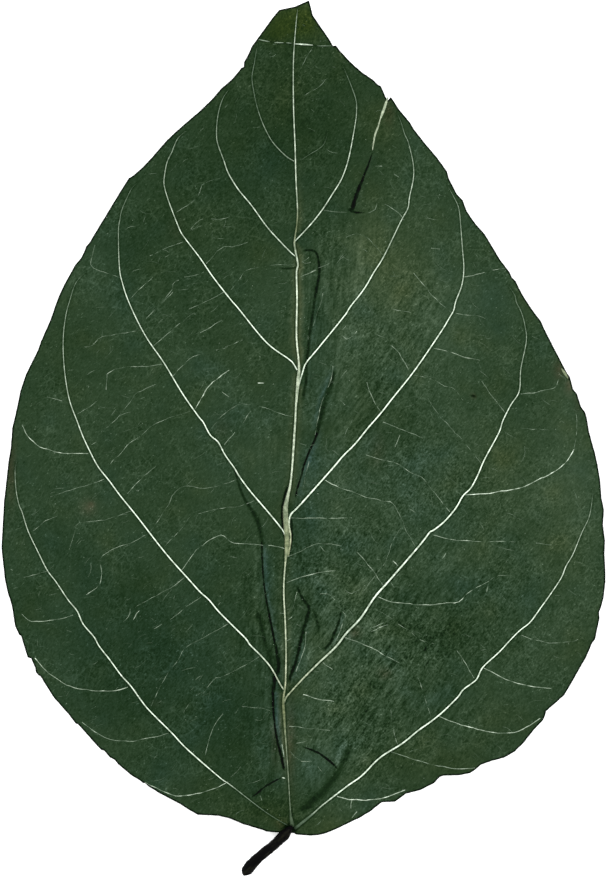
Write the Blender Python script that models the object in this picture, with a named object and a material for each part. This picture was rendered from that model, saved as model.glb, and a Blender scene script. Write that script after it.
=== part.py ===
"""A pressed and dried coral tree leaflet, lying face up with its tip towards +Y.

Two objects come out.  leaf_blade is the green blade, with its ragged margin, the slit torn
into it, its creases, and the ribs and the net of veins raised on both faces.  leaf_stalk is
the black, shrivelled stub of stalk that the leaflet hung from.

Points in the plane are (across, down) pairs read by eye off the photograph, in its pixels.
BLADE_LENGTH is the real size that they are all scaled to.
"""

import math
import random

import bpy
import numpy as np
from mathutils import Vector
from mathutils.geometry import delaunay_2d_cdt
from mathutils.kdtree import KDTree

MM = 0.001

# Driving dimensions, in metres
BLADE_LENGTH = 142 * MM  # along the midrib, from the base to the tip
BLADE_THICKNESS = 0.65 * MM
MIDRIB_WIDTH = (1.9 * MM, 0.9 * MM)  # at the base and at the tip
LATERAL_WIDTH = (1.5 * MM, 0.8 * MM)
NET_WIDTH = 0.9 * MM
MIDRIB_RISE = (0.30 * MM, 0.15 * MM)  # above the upper face
LATERAL_RISE = (0.32 * MM, 0.15 * MM)
NET_RISE = 0.14 * MM
MIDRIB_DROP = (0.60 * MM, 0.25 * MM)  # below the lower face
LATERAL_DROP = (0.40 * MM, 0.15 * MM)
NET_DROP = 0.15 * MM
CREASE_WIDTH = 1.2 * MM
CREASE_DEPTH = (0.30 * MM, 0.20 * MM)
STALK_DIAMETER = 1.9 * MM

# The way the blade cockled as it dried
REST_HEIGHT = 1.10 * MM  # of the lower face, away from the places where it touches down
TOUCH_PRESS = 0.09 * MM  # how hard each low place is pressed flat
TOUCH_SPREAD = 13 * MM
COCKLE_HEIGHT = 0.17 * MM
COCKLE_LENGTHS = (31 * MM, 43 * MM, 58 * MM)
MARGIN_LIFT = 0.9 * MM
MARGIN_WAVES = 9
LEAF_HALF_WIDTH = 52 * MM
LEAF_HALF_LENGTH = 72 * MM
TIP_LIFT = 0.07  # metres up for each metre past the crease across the tip

# The photograph's pixels that the sizes above are tied to
BLADE_PIXELS = 835.0
MIDDLE_PIXEL = (303.5, 439.0)
UNIT = BLADE_LENGTH / BLADE_PIXELS
TOUCH_PIXELS = [(150, 520), (430, 330), (345, 700)]  # three low places round its weight
TIP_CREASE_PIXEL_ROW = 44

# Mesh density, in metres
MARGIN_STEP = 2.4 * MM
RIB_STEP = 2.6 * MM
NET_STEP = 3.4 * MM
FILL_STEP = 3.4 * MM
CROWDING = 0.62 * MM
STATION_STEP = 0.15 * MM
SEED = 11

# The margin, from the tip down the left side, round the base and up the right side to the
# slit, then down and up the two sides of the slit and back to the tip.
MARGIN = [
    (309, 1), (302, 4), (295, 7), (285, 9), (279, 10.5), (272, 19), (261, 34), (252, 46),
    (244, 62), (239, 71), (231, 80), (221, 88.5), (212, 99), (199, 111.5), (178, 129.5),
    (167, 140), (151, 158.5), (142, 168), (129, 178), (125, 184), (115, 200), (106, 215),
    (93, 236), (86, 246.5), (84, 252), (75, 265), (64, 285), (58, 298), (50, 321), (41, 341),
    (26, 374), (20, 391), (17, 407), (12, 428), (10.5, 448), (6, 480), (3, 520), (1.5, 548),
    (3, 560), (5, 580), (8.5, 595), (12, 606), (15, 626), (19, 634.5), (26, 652),
    (27.5, 657.5), (31, 658.5), (35, 668), (35.5, 672), (40, 676), (53, 697), (60, 705),
    (69, 715), (75.5, 723.5), (82, 729), (101, 750), (104, 750.5), (110, 757.5), (115, 760),
    (123, 768), (132, 775.5), (143, 783), (160, 793.5), (180, 804), (198, 815), (218, 816),
    (230, 819), (257, 829), (266, 832), (278, 833), (294, 833.5), (310, 836), (325, 834),
    (336, 829.5), (360, 818), (370, 812), (382, 802.5), (395, 802), (402, 797), (411, 792.5),
    (420, 790.5), (435, 782), (440, 777), (459, 775.5), (470, 773.5), (481, 765), (504, 758),
    (515, 751.5), (524, 742.5), (533.5, 730.5), (543, 720), (546, 711), (564, 695),
    (570, 685), (586, 657), (592, 643), (595, 639), (599.5, 618), (599, 612), (603.5, 598),
    (605.5, 577), (604.5, 555), (605, 545), (603, 525), (604, 510), (601.5, 498), (600, 480),
    (594, 450), (589, 432), (586.5, 417), (578.5, 400), (571, 382), (567, 373), (560, 360),
    (547, 334), (532, 309), (516, 281), (500, 259), (485, 234), (467, 211), (460, 196),
    (457, 194), (449, 178), (437, 157), (425, 143), (414, 129), (399, 109), (391, 96.5),
    (388.5, 100), (382, 118), (376, 135), (373, 153), (373, 142), (378, 124), (387, 99.5),
    (383, 90), (373, 79.5), (351, 62.5), (341, 52), (336, 45.5), (333, 46), (323, 30),
    (313, 16),
]

MIDRIB = [
    (292, 826), (289, 792), (287, 770), (284, 732), (283, 712), (285, 688), (286, 640),
    (284, 600), (285.5, 560), (286, 530), (286, 500), (290, 480), (293, 450), (296, 410),
    (299, 362), (296.5, 337), (297, 300), (298, 265), (294.5, 241), (297.5, 215),
    (296, 160), (293.5, 110), (293.5, 60), (298, 8),
]

# Side ribs, each from the midrib outwards
LATERALS = [
    [(290, 828), (272, 816.5), (242, 794), (213, 772), (187, 749), (152, 714), (121, 675),
     (94, 637), (72, 606), (51, 575), (32, 540), (22, 512), (16, 487), (15, 468)],
    [(284, 690), (271, 668), (255, 650), (226, 619), (196, 588), (163, 550), (127, 504),
     (95, 461), (80, 429), (66, 382), (63, 340), (68, 306), (86, 271)],
    [(287, 545), (268, 512), (241, 479), (218, 442), (188, 401), (158, 355), (132, 309),
     (121, 277), (118, 243), (122, 210), (138, 183)],
    [(297, 372), (281, 354), (258, 333), (222, 289), (192, 247), (169, 202), (165, 175),
     (186, 131)],
    [(295, 256), (268, 228), (238, 189), (220, 150), (217, 122), (227, 91)],
    [(294, 161), (276, 146), (258, 110), (252, 78), (257, 48)],
    [(292, 830), (317, 812), (348, 786), (380, 758), (412, 736), (444, 711), (475, 681),
     (483, 667), (510, 640), (541, 607), (566, 566), (586, 525), (593, 488)],
    [(284, 699), (319, 663), (346, 634), (371, 603), (404, 564), (434, 530), (456, 508),
     (471, 488), (489, 451), (503, 421), (519.5, 391), (526, 341), (515, 295), (508, 285)],
    [(288, 540), (292, 512), (325, 477), (368, 428), (409, 377), (441, 332), (460, 293),
     (463, 257), (457, 203), (448, 186)],
    [(299, 378), (313, 355), (350, 307), (384, 256), (405, 213), (414, 170), (397, 113)],
    [(295, 241), (316, 218), (341, 180), (355, 125), (350, 83), (342, 65)],
    [(296, 162), (310, 154), (325, 142), (328, 131)],
]

# The coarser veins of the net between the side ribs
NET = [
    [(205, 262), (224, 244), (247, 240)],
    [(176, 212.5), (197, 198), (202, 185), (213, 180)],
    [(211, 219), (224, 218.5), (231, 216)],
    [(183, 242), (165, 249), (150, 256)],
    [(179, 280), (168, 296), (142, 322)],
    [(223, 291), (208, 299), (188, 308)],
    [(231, 290), (247, 270), (265, 266)],
    [(119, 277), (92, 267), (95, 245)],
    [(130, 299), (149, 280)],
    [(142, 330), (113, 335), (85, 347)],
    [(162, 364), (130, 366.5), (107, 374), (106, 388)],
    [(156, 384), (130, 401), (101, 432)],
    [(88, 453.5), (62, 453), (38, 446), (22, 425), (25, 402)],
    [(100, 398), (77, 414)],
    [(190, 411), (153, 423), (126.5, 447), (105, 472)],
    [(195, 409), (210, 384), (229, 370)],
    [(171, 374), (196, 352)],
    [(153, 346), (180, 323)],
    [(210, 430), (233, 407), (243, 404)],
    [(293, 416.5), (277, 412), (265, 408)],
    [(214, 445), (184, 451), (153, 470), (128, 495)],
    [(104, 479), (80, 488), (50, 497)],
    [(150, 532), (168, 505), (177, 491), (205, 488.5), (237, 479)],
    [(149, 535), (118, 549), (101, 562), (100.5, 584), (75, 608)],
    [(131, 511), (95, 521), (79, 523), (68, 553)],
    [(182, 570), (202, 545), (221, 535), (243, 543), (284, 549)],
    [(164, 547), (186, 522), (216, 510), (254, 501)],
    [(184, 578), (150, 599), (135, 612)],
    [(201, 597), (173, 618), (154, 629)],
    [(229, 624), (186, 648), (161, 685), (151, 708)],
    [(259, 657), (222, 677), (193, 699), (175, 730)],
    [(271, 712), (240, 707), (223, 714), (210, 735), (204, 759)],
    [(48, 571), (20, 576), (11, 569)],
    [(73, 615), (38, 621), (22, 614)],
    [(128, 687), (90, 690), (57, 679), (35, 658)],
    [(169, 733), (124, 741), (94, 731), (82, 722)],
    [(228, 782), (188, 796), (160, 789), (145, 780)],
    [(311, 272), (330, 263)],
    [(337, 263), (361, 234), (377, 249)],
    [(324, 210), (347, 212)],
    [(366, 211), (377, 199)],
    [(304, 96), (327, 77)],
    [(302, 66), (313, 50)],
    [(414, 273), (435, 297), (449, 312)],
    [(456, 313), (487, 319)],
    [(434, 348), (463, 356), (480, 360)],
    [(415, 373), (445, 386), (463, 400)],
    [(391, 309), (411, 313), (424, 328)],
    [(393, 345), (409, 370)],
    [(366, 383), (380, 413)],
    [(383, 422), (408, 432), (428, 441)],
    [(482, 381), (506, 414)],
    [(521, 428), (550, 430)],
    [(463, 440), (482, 464)],
    [(465, 495), (505, 491), (548, 475), (571, 456), (577, 425)],
    [(525, 393), (554, 387)],
    [(464, 277), (485, 272)],
    [(326, 481), (366, 497), (392, 503), (402, 524), (416, 547)],
    [(366, 455), (408, 469), (431, 488), (450, 512)],
    [(433, 535), (472, 541), (516, 542)],
    [(378, 597), (424, 605), (458, 602), (489, 581), (511, 575)],
    [(345, 638), (377, 651), (399, 663)],
    [(521, 635), (553, 643), (578, 639)],
    [(484, 668), (516, 682), (551, 688)],
    [(438, 716), (476, 728), (505, 733), (540, 718)],
    [(391, 752), (430, 764), (470, 770)],
    [(337, 797), (372, 800), (405, 790)],
    [(294, 693), (334, 702)],
    [(289, 727), (330, 731)],
    [(419, 678), (432, 718)],
    [(457, 651), (474, 678)],
    [(294, 518), (350, 518)],
    [(287, 557), (317, 544), (343, 545)],
    [(286, 583), (336, 571)],
    [(357, 552), (383, 585)],
]

# Folds pressed into the blade, which show as dark lines
CREASES = [
    [(258, 40), (280, 43.5), (310, 46), (330, 46.5)],
    [(372, 158), (364, 177), (356, 197), (352, 210)],
    [(238, 478), (243, 498), (257, 526), (262.5, 545), (264, 585), (273, 635), (278, 672)],
    [(273, 685), (273, 710), (277, 740), (283, 764)],
    [(311, 250), (318.5, 265), (313, 302), (307, 350), (301, 393)],
    [(332, 368), (322, 411), (309, 452), (297, 497)],
    [(298, 588), (308, 610), (299, 653), (291, 677)],
    [(304, 749), (322, 755), (337, 769)],
    [(281, 778), (267, 785), (252, 797)],
]

# The stalk's middle line, from the blade to its broken end
STALK = [(285.5, 835.3), (272, 848), (262, 856), (252, 864), (245.5, 873)]
STALK_SIDES = 16
STALK_LEVEL_RINGS = 5  # rings that turn from level with the blade to square with the stalk
STALK_STEP = 0.55 * MM
STALK_FLARE = 0.10  # how much thicker than its middle the stalk is at its ends
STALK_WRINKLE_COUNTS = (3, 5, 6)
STALK_WRINKLE = 0.055  # depth of each set of lengthwise wrinkles, as a share of the radius
STALK_CLEARANCE = 0.06 * MM  # under the stalk
STALK_SEED = 5


def clear_scene():
    for obj in list(bpy.data.objects):
        bpy.data.objects.remove(obj)


def placed(pixel):
    """A photograph pixel as a point in the plane, in metres from the leaf's middle."""
    across, down = pixel
    return ((across - MIDDLE_PIXEL[0]) * UNIT, (MIDDLE_PIXEL[1] - down) * UNIT)


def evenly_spaced(points, step):
    """Points about step apart along straight runs between the given ones, both ends kept."""
    points = np.array(points)
    lengths = np.hypot(*np.diff(points, axis=0).T)
    along = np.concatenate([[0.0], np.cumsum(lengths)])
    count = max(2, round(along[-1] / step) + 1)
    wanted = np.linspace(0.0, along[-1], count)
    return np.column_stack([np.interp(wanted, along, points[:, i]) for i in (0, 1)])


def smooth_line(pixels, step):
    """Points about step apart along a smooth curve through the given pixels."""
    points = [np.array(placed(pixel)) for pixel in pixels]
    last = len(points) - 1
    fine = []
    for i in range(last):
        start, end = points[i], points[i + 1]
        pull_start = (end - points[max(i - 1, 0)]) / 2
        pull_end = (points[min(i + 2, last)] - start) / 2
        for t in np.arange(0.0, 1.0, 0.1):
            fine.append(
                start * (2 * t**3 - 3 * t**2 + 1)
                + pull_start * (t**3 - 2 * t**2 + t)
                + end * (3 * t**2 - 2 * t**3)
                + pull_end * (t**3 - t**2)
            )
    fine.append(points[last])
    return evenly_spaced(fine, step)


def margin_line():
    """The closed margin, with points added only where two of its own lie far apart."""
    corners = [placed(pixel) for pixel in MARGIN]
    line = []
    for start, end in zip(corners, corners[1:] + corners[:1]):
        line.extend(map(tuple, evenly_spaced([start, end], MARGIN_STEP)[:-1]))
    return line


class Relief:
    """Lines that lift or sink the blade: how far they move its two faces at a point."""

    def __init__(self):
        self.stations = []
        self.tree = None

    def add(self, pixels, width, upper, lower):
        """A line whose width and heights run from their first value to their second."""
        line = smooth_line(pixels, STATION_STEP)
        for t, point in zip(np.linspace(0.0, 1.0, len(line)), line):
            reach = (width[0] + (width[1] - width[0]) * t) / 2
            up = upper[0] + (upper[1] - upper[0]) * t
            down = lower[0] + (lower[1] - lower[0]) * t
            self.stations.append((point, reach, up, down))

    def finish(self):
        self.tree = KDTree(len(self.stations))
        for i, station in enumerate(self.stations):
            self.tree.insert((*station[0], 0.0), i)
        self.tree.balance()

    def at(self, point):
        up = 0.0
        down = 0.0
        for _, index, distance in self.tree.find_range((*point, 0.0), MIDRIB_WIDTH[0] / 2):
            _, reach, station_up, station_down = self.stations[index]
            share = max(0.0, 1 - distance / reach)
            up = max(up, station_up * share)
            down = max(down, station_down * share)
        return up, down


def blade_relief():
    """The raised ribs and net, and the sunk creases."""
    ribs = Relief()
    ribs.add(MIDRIB, MIDRIB_WIDTH, MIDRIB_RISE, MIDRIB_DROP)
    for pixels in LATERALS:
        ribs.add(pixels, LATERAL_WIDTH, LATERAL_RISE, LATERAL_DROP)
    for pixels in NET:
        ribs.add(pixels, (NET_WIDTH,) * 2, (NET_RISE,) * 2, (NET_DROP,) * 2)
    ribs.finish()
    creases = Relief()
    for pixels in CREASES:
        creases.add(pixels, (CREASE_WIDTH,) * 2, CREASE_DEPTH, CREASE_DEPTH)
    creases.finish()
    return ribs, creases


def loose_height(point):
    """Height of the lower face if nothing touched the table, before the ribs."""
    x, y = point
    height = REST_HEIGHT
    for i, length in enumerate(COCKLE_LENGTHS):
        turn = 0.7 + 1.9 * i
        along = x * math.cos(turn) + y * math.sin(turn)
        height += COCKLE_HEIGHT * math.sin(math.tau * along / length + 2.1 * i)
    outward = math.hypot(x / LEAF_HALF_WIDTH, y / LEAF_HALF_LENGTH)
    wave = 1.6 + math.sin(MARGIN_WAVES * x / LEAF_HALF_WIDTH)
    height += MARGIN_LIFT * max(0.0, outward - 0.55) ** 2 * wave
    past_crease = y - placed((0, TIP_CREASE_PIXEL_ROW))[1]
    return height + TIP_LIFT * max(0.0, past_crease)


def cockle(point):
    """Height of the lower face, which dips to the table at three places."""
    height = loose_height(point)
    for touch in map(placed, TOUCH_PIXELS):
        dip = loose_height(touch) + TOUCH_PRESS
        height -= dip * math.exp(-(math.dist(point, touch) ** 2) / (2 * TOUCH_SPREAD**2))
    return max(0.0, height)


class PlaneMesh:
    """Points and lines in the plane, kept from crowding, and their triangles."""

    def __init__(self):
        self.points = []
        self.edges = []
        self.cells = {}

    def cell(self, point):
        return (math.floor(point[0] / FILL_STEP), math.floor(point[1] / FILL_STEP))

    def nearest(self, point, within):
        """The index of the nearest point closer than within, or None."""
        column, row = self.cell(point)
        best = None
        for i in (column - 1, column, column + 1):
            for j in (row - 1, row, row + 1):
                for index in self.cells.get((i, j), ()):
                    away = math.dist(point, self.points[index])
                    if away < within:
                        best, within = index, away
        return best

    def add(self, point):
        self.points.append((float(point[0]), float(point[1])))
        self.cells.setdefault(self.cell(point), []).append(len(self.points) - 1)
        return len(self.points) - 1

    def add_line(self, line):
        """Joins the line's points, using a point that is there already where one is near."""
        before = None
        for point in line:
            index = self.nearest(point, CROWDING)
            if index is None:
                index = self.add(point)
            if before is not None and before != index:
                self.edges.append((before, index))
            before = index

    def add_loose(self, points, spacing):
        for point in points:
            if self.nearest(point, spacing) is None:
                self.add(point)

    def triangles(self, loop_length):
        """The triangles inside the loop that the first points make, wound to face up."""
        flat = [Vector(point) for point in self.points]
        loop = list(range(loop_length))
        found = delaunay_2d_cdt(flat, self.edges, [loop], 1, 1e-7)
        points = [(point.x, point.y) for point in found[0]]
        faces = []
        for a, b, c in found[2]:
            (ax, ay), (bx, by), (cx, cy) = points[a], points[b], points[c]
            turns_left = (bx - ax) * (cy - ay) - (by - ay) * (cx - ax) > 0
            faces.append((a, b, c) if turns_left else (a, c, b))
        return points, faces


def beside(line, offset):
    """Points on both sides of a line, halfway between its own points."""
    found = []
    for start, end in zip(line, line[1:]):
        middle = (start + end) / 2
        along = (end - start) / math.dist(start, end)
        across = np.array([-along[1], along[0]])
        found.append(middle + across * offset)
        found.append(middle - across * offset)
    return found


def inside(point, loop):
    x, y = point
    crossings = 0
    for (x1, y1), (x2, y2) in zip(loop, loop[1:] + loop[:1]):
        if (y1 > y) != (y2 > y) and x < x1 + (x2 - x1) * (y - y1) / (y2 - y1):
            crossings += 1
    return crossings % 2 == 1


def fill_points(loop, rng):
    """A loose honeycomb of points over the inside of the margin."""
    found = []
    row_height = FILL_STEP * math.sqrt(3) / 2
    columns = round(0.6 * BLADE_LENGTH / FILL_STEP)
    rows = round(0.6 * BLADE_LENGTH / row_height)
    for row in range(-rows, rows + 1):
        for column in range(-columns, columns + 1):
            x = (column + row % 2 / 2) * FILL_STEP + rng.uniform(-0.1, 0.1) * FILL_STEP
            y = row * row_height + rng.uniform(-0.1, 0.1) * FILL_STEP
            if inside((x, y), loop):
                found.append((x, y))
    return found


def blade_plan():
    """The blade seen from above: its points and triangles, with ribs and creases as edges."""
    plan = PlaneMesh()
    loop = margin_line()
    for point in loop:
        plan.add(point)
    lines = [(smooth_line(MIDRIB, RIB_STEP), sum(MIDRIB_WIDTH) / 4)]
    lines += [(smooth_line(pixels, RIB_STEP), sum(LATERAL_WIDTH) / 4) for pixels in LATERALS]
    lines += [(smooth_line(pixels, RIB_STEP), CREASE_WIDTH / 2) for pixels in CREASES]
    lines += [(smooth_line(pixels, NET_STEP), NET_WIDTH / 2) for pixels in NET]
    for line, _ in lines:
        plan.add_line(line)
    for line, offset in lines:
        sides = [point for point in beside(line, offset) if inside(point, loop)]
        plan.add_loose(sides, CROWDING)
    plan.add_loose(fill_points(loop, random.Random(SEED)), 0.62 * FILL_STEP)
    return plan.triangles(len(loop))


def leaf_blade():
    """The blade: the same triangles on both faces, joined round the rim."""
    points, upper_faces = blade_plan()
    ribs, creases = blade_relief()
    upper = []
    lower = []
    for point in points:
        rib_up, rib_down = ribs.at(point)
        sunk, _ = creases.at(point)
        under = cockle(point)
        upper.append((*point, under + BLADE_THICKNESS + rib_up - sunk))
        lower.append((*point, max(0.0, under - rib_down - sunk)))
    count = len(points)
    faces = list(upper_faces)
    faces += [(c + count, b + count, a + count) for a, b, c in upper_faces]
    sides = {(a, b) for f in upper_faces for a, b in zip(f, f[1:] + f[:1])}
    for a, b in sides:
        if (b, a) not in sides:
            faces.append((a + count, b + count, b))
            faces.append((a + count, b, a))
    return new_object("leaf_blade", upper + lower, faces, leaf_green())


def stalk_rings():
    """Rings round the stalk's middle line, wrinkled along its length and level at the blade."""
    rng = random.Random(STALK_SEED)
    wrinkles = [(count, rng.uniform(0, math.tau)) for count in STALK_WRINKLE_COUNTS]
    line = smooth_line(STALK, STALK_STEP)
    radius = STALK_DIAMETER / 2
    rings = []
    for i, middle in enumerate(line):
        ahead = line[min(i + 1, len(line) - 1)] - line[max(i - 1, 0)]
        ahead = ahead / math.hypot(*ahead)
        across = np.array([-ahead[1], ahead[0]])
        t = i / (len(line) - 1)
        size = radius * (1 + STALK_FLARE * (2 * t - 1) ** 2)
        level = max(0.0, 1 - i / STALK_LEVEL_RINGS)
        ring = []
        for k in range(STALK_SIDES):
            turn = -math.tau * k / STALK_SIDES
            wrinkle = sum(math.sin(n * turn + phase + 2.5 * t) for n, phase in wrinkles)
            reach = size * (1 + STALK_WRINKLE * wrinkle + rng.uniform(-0.015, 0.015))
            sideways = middle + across * reach * math.cos(turn)
            sideways = sideways + ahead * level * (middle[1] - sideways[1]) / ahead[1]
            ring.append((*sideways, reach * math.sin(turn)))
        rings.append(ring)
    return rings


def leaf_stalk():
    """The stalk: a shrivelled tube, level with the blade's base and broken at its end."""
    rings = stalk_rings()
    lift = STALK_CLEARANCE - min(point[2] for ring in rings for point in ring)
    points = [(x, y, z + lift) for ring in rings for x, y, z in ring]
    faces = []
    for start in range(0, len(points) - STALK_SIDES, STALK_SIDES):
        for k in range(STALK_SIDES):
            here = start + k
            beside_it = start + (k + 1) % STALK_SIDES
            faces.append((here, here + STALK_SIDES, beside_it + STALK_SIDES, beside_it))
    last = len(points) - STALK_SIDES
    faces.append(tuple(range(STALK_SIDES)))
    faces.append(tuple(last + k for k in reversed(range(STALK_SIDES))))
    return new_object("leaf_stalk", points, faces, stalk_black())


def new_object(name, points, faces, material):
    mesh = bpy.data.meshes.new(name)
    mesh.from_pydata(points, [], faces)
    mesh.materials.append(material)
    mesh.validate()
    mesh.shade_smooth()
    obj = bpy.data.objects.new(name, mesh)
    bpy.context.scene.collection.objects.link(obj)
    return obj


def principled(name, colour, roughness):
    material = bpy.data.materials.new(name)
    material.use_nodes = True
    shader = material.node_tree.nodes["Principled BSDF"]
    shader.inputs["Base Color"].default_value = (*colour, 1.0)
    shader.inputs["Roughness"].default_value = roughness
    shader.inputs["Metallic"].default_value = 0.0
    return material


def leaf_green():
    return principled("dried leaf green", (0.020, 0.048, 0.022), 0.62)


def stalk_black():
    return principled("shrivelled stalk black", (0.010, 0.008, 0.006), 0.55)


def main():
    clear_scene()
    leaf_blade()
    leaf_stalk()


main()
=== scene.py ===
"""The look of a pressed and dried coral tree leaflet, around the CAD part's two nodes.

The blade is a thin closed skin, cockled like the CAD blade.  The side ribs, the net of veins
and the loose fibres are meshes of their own, which run through the skin or lie on it.  The
stalk is a shrivelled black stub.  Points in the plane are (across, down) pairs in the
photograph's pixels; BLADE_LENGTH scales them to the real size.  They were first listed one by
one.  A script then thinned some lines, and another measured the photograph along the net's
lines, sorted them by brightness, dropped some and moved some sideways.
"""

import math
import random

import bpy
import numpy as np
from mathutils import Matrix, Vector, noise
from mathutils.geometry import delaunay_2d_cdt
from mathutils.kdtree import KDTree


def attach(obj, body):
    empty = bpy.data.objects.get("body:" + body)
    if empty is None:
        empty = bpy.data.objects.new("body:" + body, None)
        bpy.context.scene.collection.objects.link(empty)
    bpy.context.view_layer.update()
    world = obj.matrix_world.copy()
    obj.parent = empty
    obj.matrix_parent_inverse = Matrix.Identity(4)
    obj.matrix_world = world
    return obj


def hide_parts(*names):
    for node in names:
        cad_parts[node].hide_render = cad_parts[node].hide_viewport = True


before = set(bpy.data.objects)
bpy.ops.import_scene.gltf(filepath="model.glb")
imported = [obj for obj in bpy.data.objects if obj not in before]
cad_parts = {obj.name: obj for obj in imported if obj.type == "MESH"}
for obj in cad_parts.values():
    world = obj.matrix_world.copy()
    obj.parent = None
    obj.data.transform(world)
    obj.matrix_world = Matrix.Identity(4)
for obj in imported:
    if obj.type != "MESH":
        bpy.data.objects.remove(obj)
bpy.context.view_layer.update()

MM = 0.001
SEED = 11

# The part's own scale and cockle, as in its CAD source
BLADE_LENGTH = 142 * MM
BLADE_PIXELS = 835.0
MIDDLE_PIXEL = (303.5, 439.0)
MIDRIB_PIXEL = 290  # about how far across the photograph the midrib runs
UNIT = BLADE_LENGTH / BLADE_PIXELS  # metres to a pixel
REST_HEIGHT = 1.10 * MM
TOUCH_PIXELS = [(150, 520), (430, 330), (345, 700)]  # where the blade dips to the table
TOUCH_PRESS = 0.09 * MM
TOUCH_SPREAD = 13 * MM
COCKLE_HEIGHT = 0.17 * MM
COCKLE_LENGTHS = (31 * MM, 43 * MM, 58 * MM)
COCKLE_TURN = 0.7  # radians from the X axis to the first wave's direction
COCKLE_TURN_STEP = 1.9  # radians from one wave's direction to the next one's
COCKLE_SHIFT = 2.1  # radians by which each wave is ahead of the one before
MARGIN_LIFT = 0.9 * MM
MARGIN_WAVES = 9
MARGIN_EVEN = 1.6  # the lift that is the same all round, where the waves swing by 1
MARGIN_START = 0.55  # share of the way out from the middle at which the lift starts
LEAF_HALF_WIDTH = 52 * MM
LEAF_HALF_LENGTH = 72 * MM
TIP_CREASE_PIXEL_ROW = 44
TIP_LIFT = 0.07  # metres up for each metre past the crease across the tip

# The skin, measured from the CAD blade's lower face
UPPER_HEIGHT = 0.60 * MM
UNDER_HEIGHT = 0.20 * MM
SKIN_FLOOR = 0.02 * MM  # least height of the lower face over the table
RIM_DROOP = 0.10 * MM  # how far the upper face rounds down at the margin
RIM_ROUND = 0.30 * MM
RAGGED = 0.07 * MM  # how far in the margin is bitten
RAGGED_SIZE = 0.9 * MM
SWELL = 0.10 * MM  # of the skin over a side rib
SWELL_REACH = 0.70 * MM
CHANNEL_DEPTH = 0.07 * MM  # of the groove on each side of a rib
CHANNEL_AWAY = 0.42 * MM
CHANNEL_REACH = 0.16 * MM
STRONG_WIDTH = 0.30  # mm; a rib this wide shapes the skin beside it in full
RIB_BULGE = 0.14 * MM  # of the lower face under a rib
QUILT = 0.07 * MM  # how far the skin bulges between the veins of the net
QUILT_REACH = 1.3 * MM
PUCKER = 0.10 * MM
PUCKER_SIZE = 5.0 * MM
PUCKER_NEAR = 9 * MM  # from the midrib, within which puckers are drawn out and stronger
PUCKER_STRETCH = 1.6
PUCKER_GAIN = 0.6
PUCKER_FRACTAL = (0.9, 2.1, 4)  # the noise's falloff, step in fineness and layers
UNDER_PUCKER = 0.5  # share of the puckers that shows on the lower face
CREASE_DEPTH = 0.24 * MM
CREASE_SHARE = 0.8  # how wide a crease's groove is, in widths of the crease
CREASE_SHOULDER = 0.08 * MM
CREASE_BULGE = 0.10 * MM  # of the lower face under a crease
CREASE_FADE = 0.8 * MM  # over which a crease's end fades out
CREASE_END = 0.4  # how much of the crease is left at its very end
CREASE_FAR = 4.0  # half widths away from a crease, past which it isn't felt
FOLD_LIFT = 0.16 * MM  # of the skin along the lit side of a crease
FOLD_AWAY = 0.26 * MM  # from the crease's edge
FOLD_REACH = 0.26 * MM
HALO_AWAY = 0.10 * MM  # of the olive stain beside the midrib, from the midrib's edge
HALO_REACH = 0.60 * MM

# Mesh density
CURVE_STEP = 0.1  # between a curve's points, as a share of the run between given pixels
STATION_STEP = 0.12 * MM
MARGIN_STEP = 0.45 * MM
RIB_STEP = 0.50 * MM
NET_STEP = 0.75 * MM
CREASE_STEP = 0.35 * MM
RIM_BESIDE = (0.20 * MM, 0.45 * MM)  # where points run along each side of a line
RIB_BESIDE = (0.20 * MM, 0.42 * MM)
CREASE_BESIDE = (0.16 * MM, 0.36 * MM)
NET_BESIDE = (0.35 * MM,)
CELL = 1.0 * MM
CROWDING = 0.11 * MM
FILL_STEP = 0.85 * MM
FILL_REACH = 0.6  # how far the loose points go from the middle, in blade lengths
FILL_STRAY = 0.12  # how far a loose point strays, in steps
FILL_ROOM = 0.55  # the room that it needs round it, in steps

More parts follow.
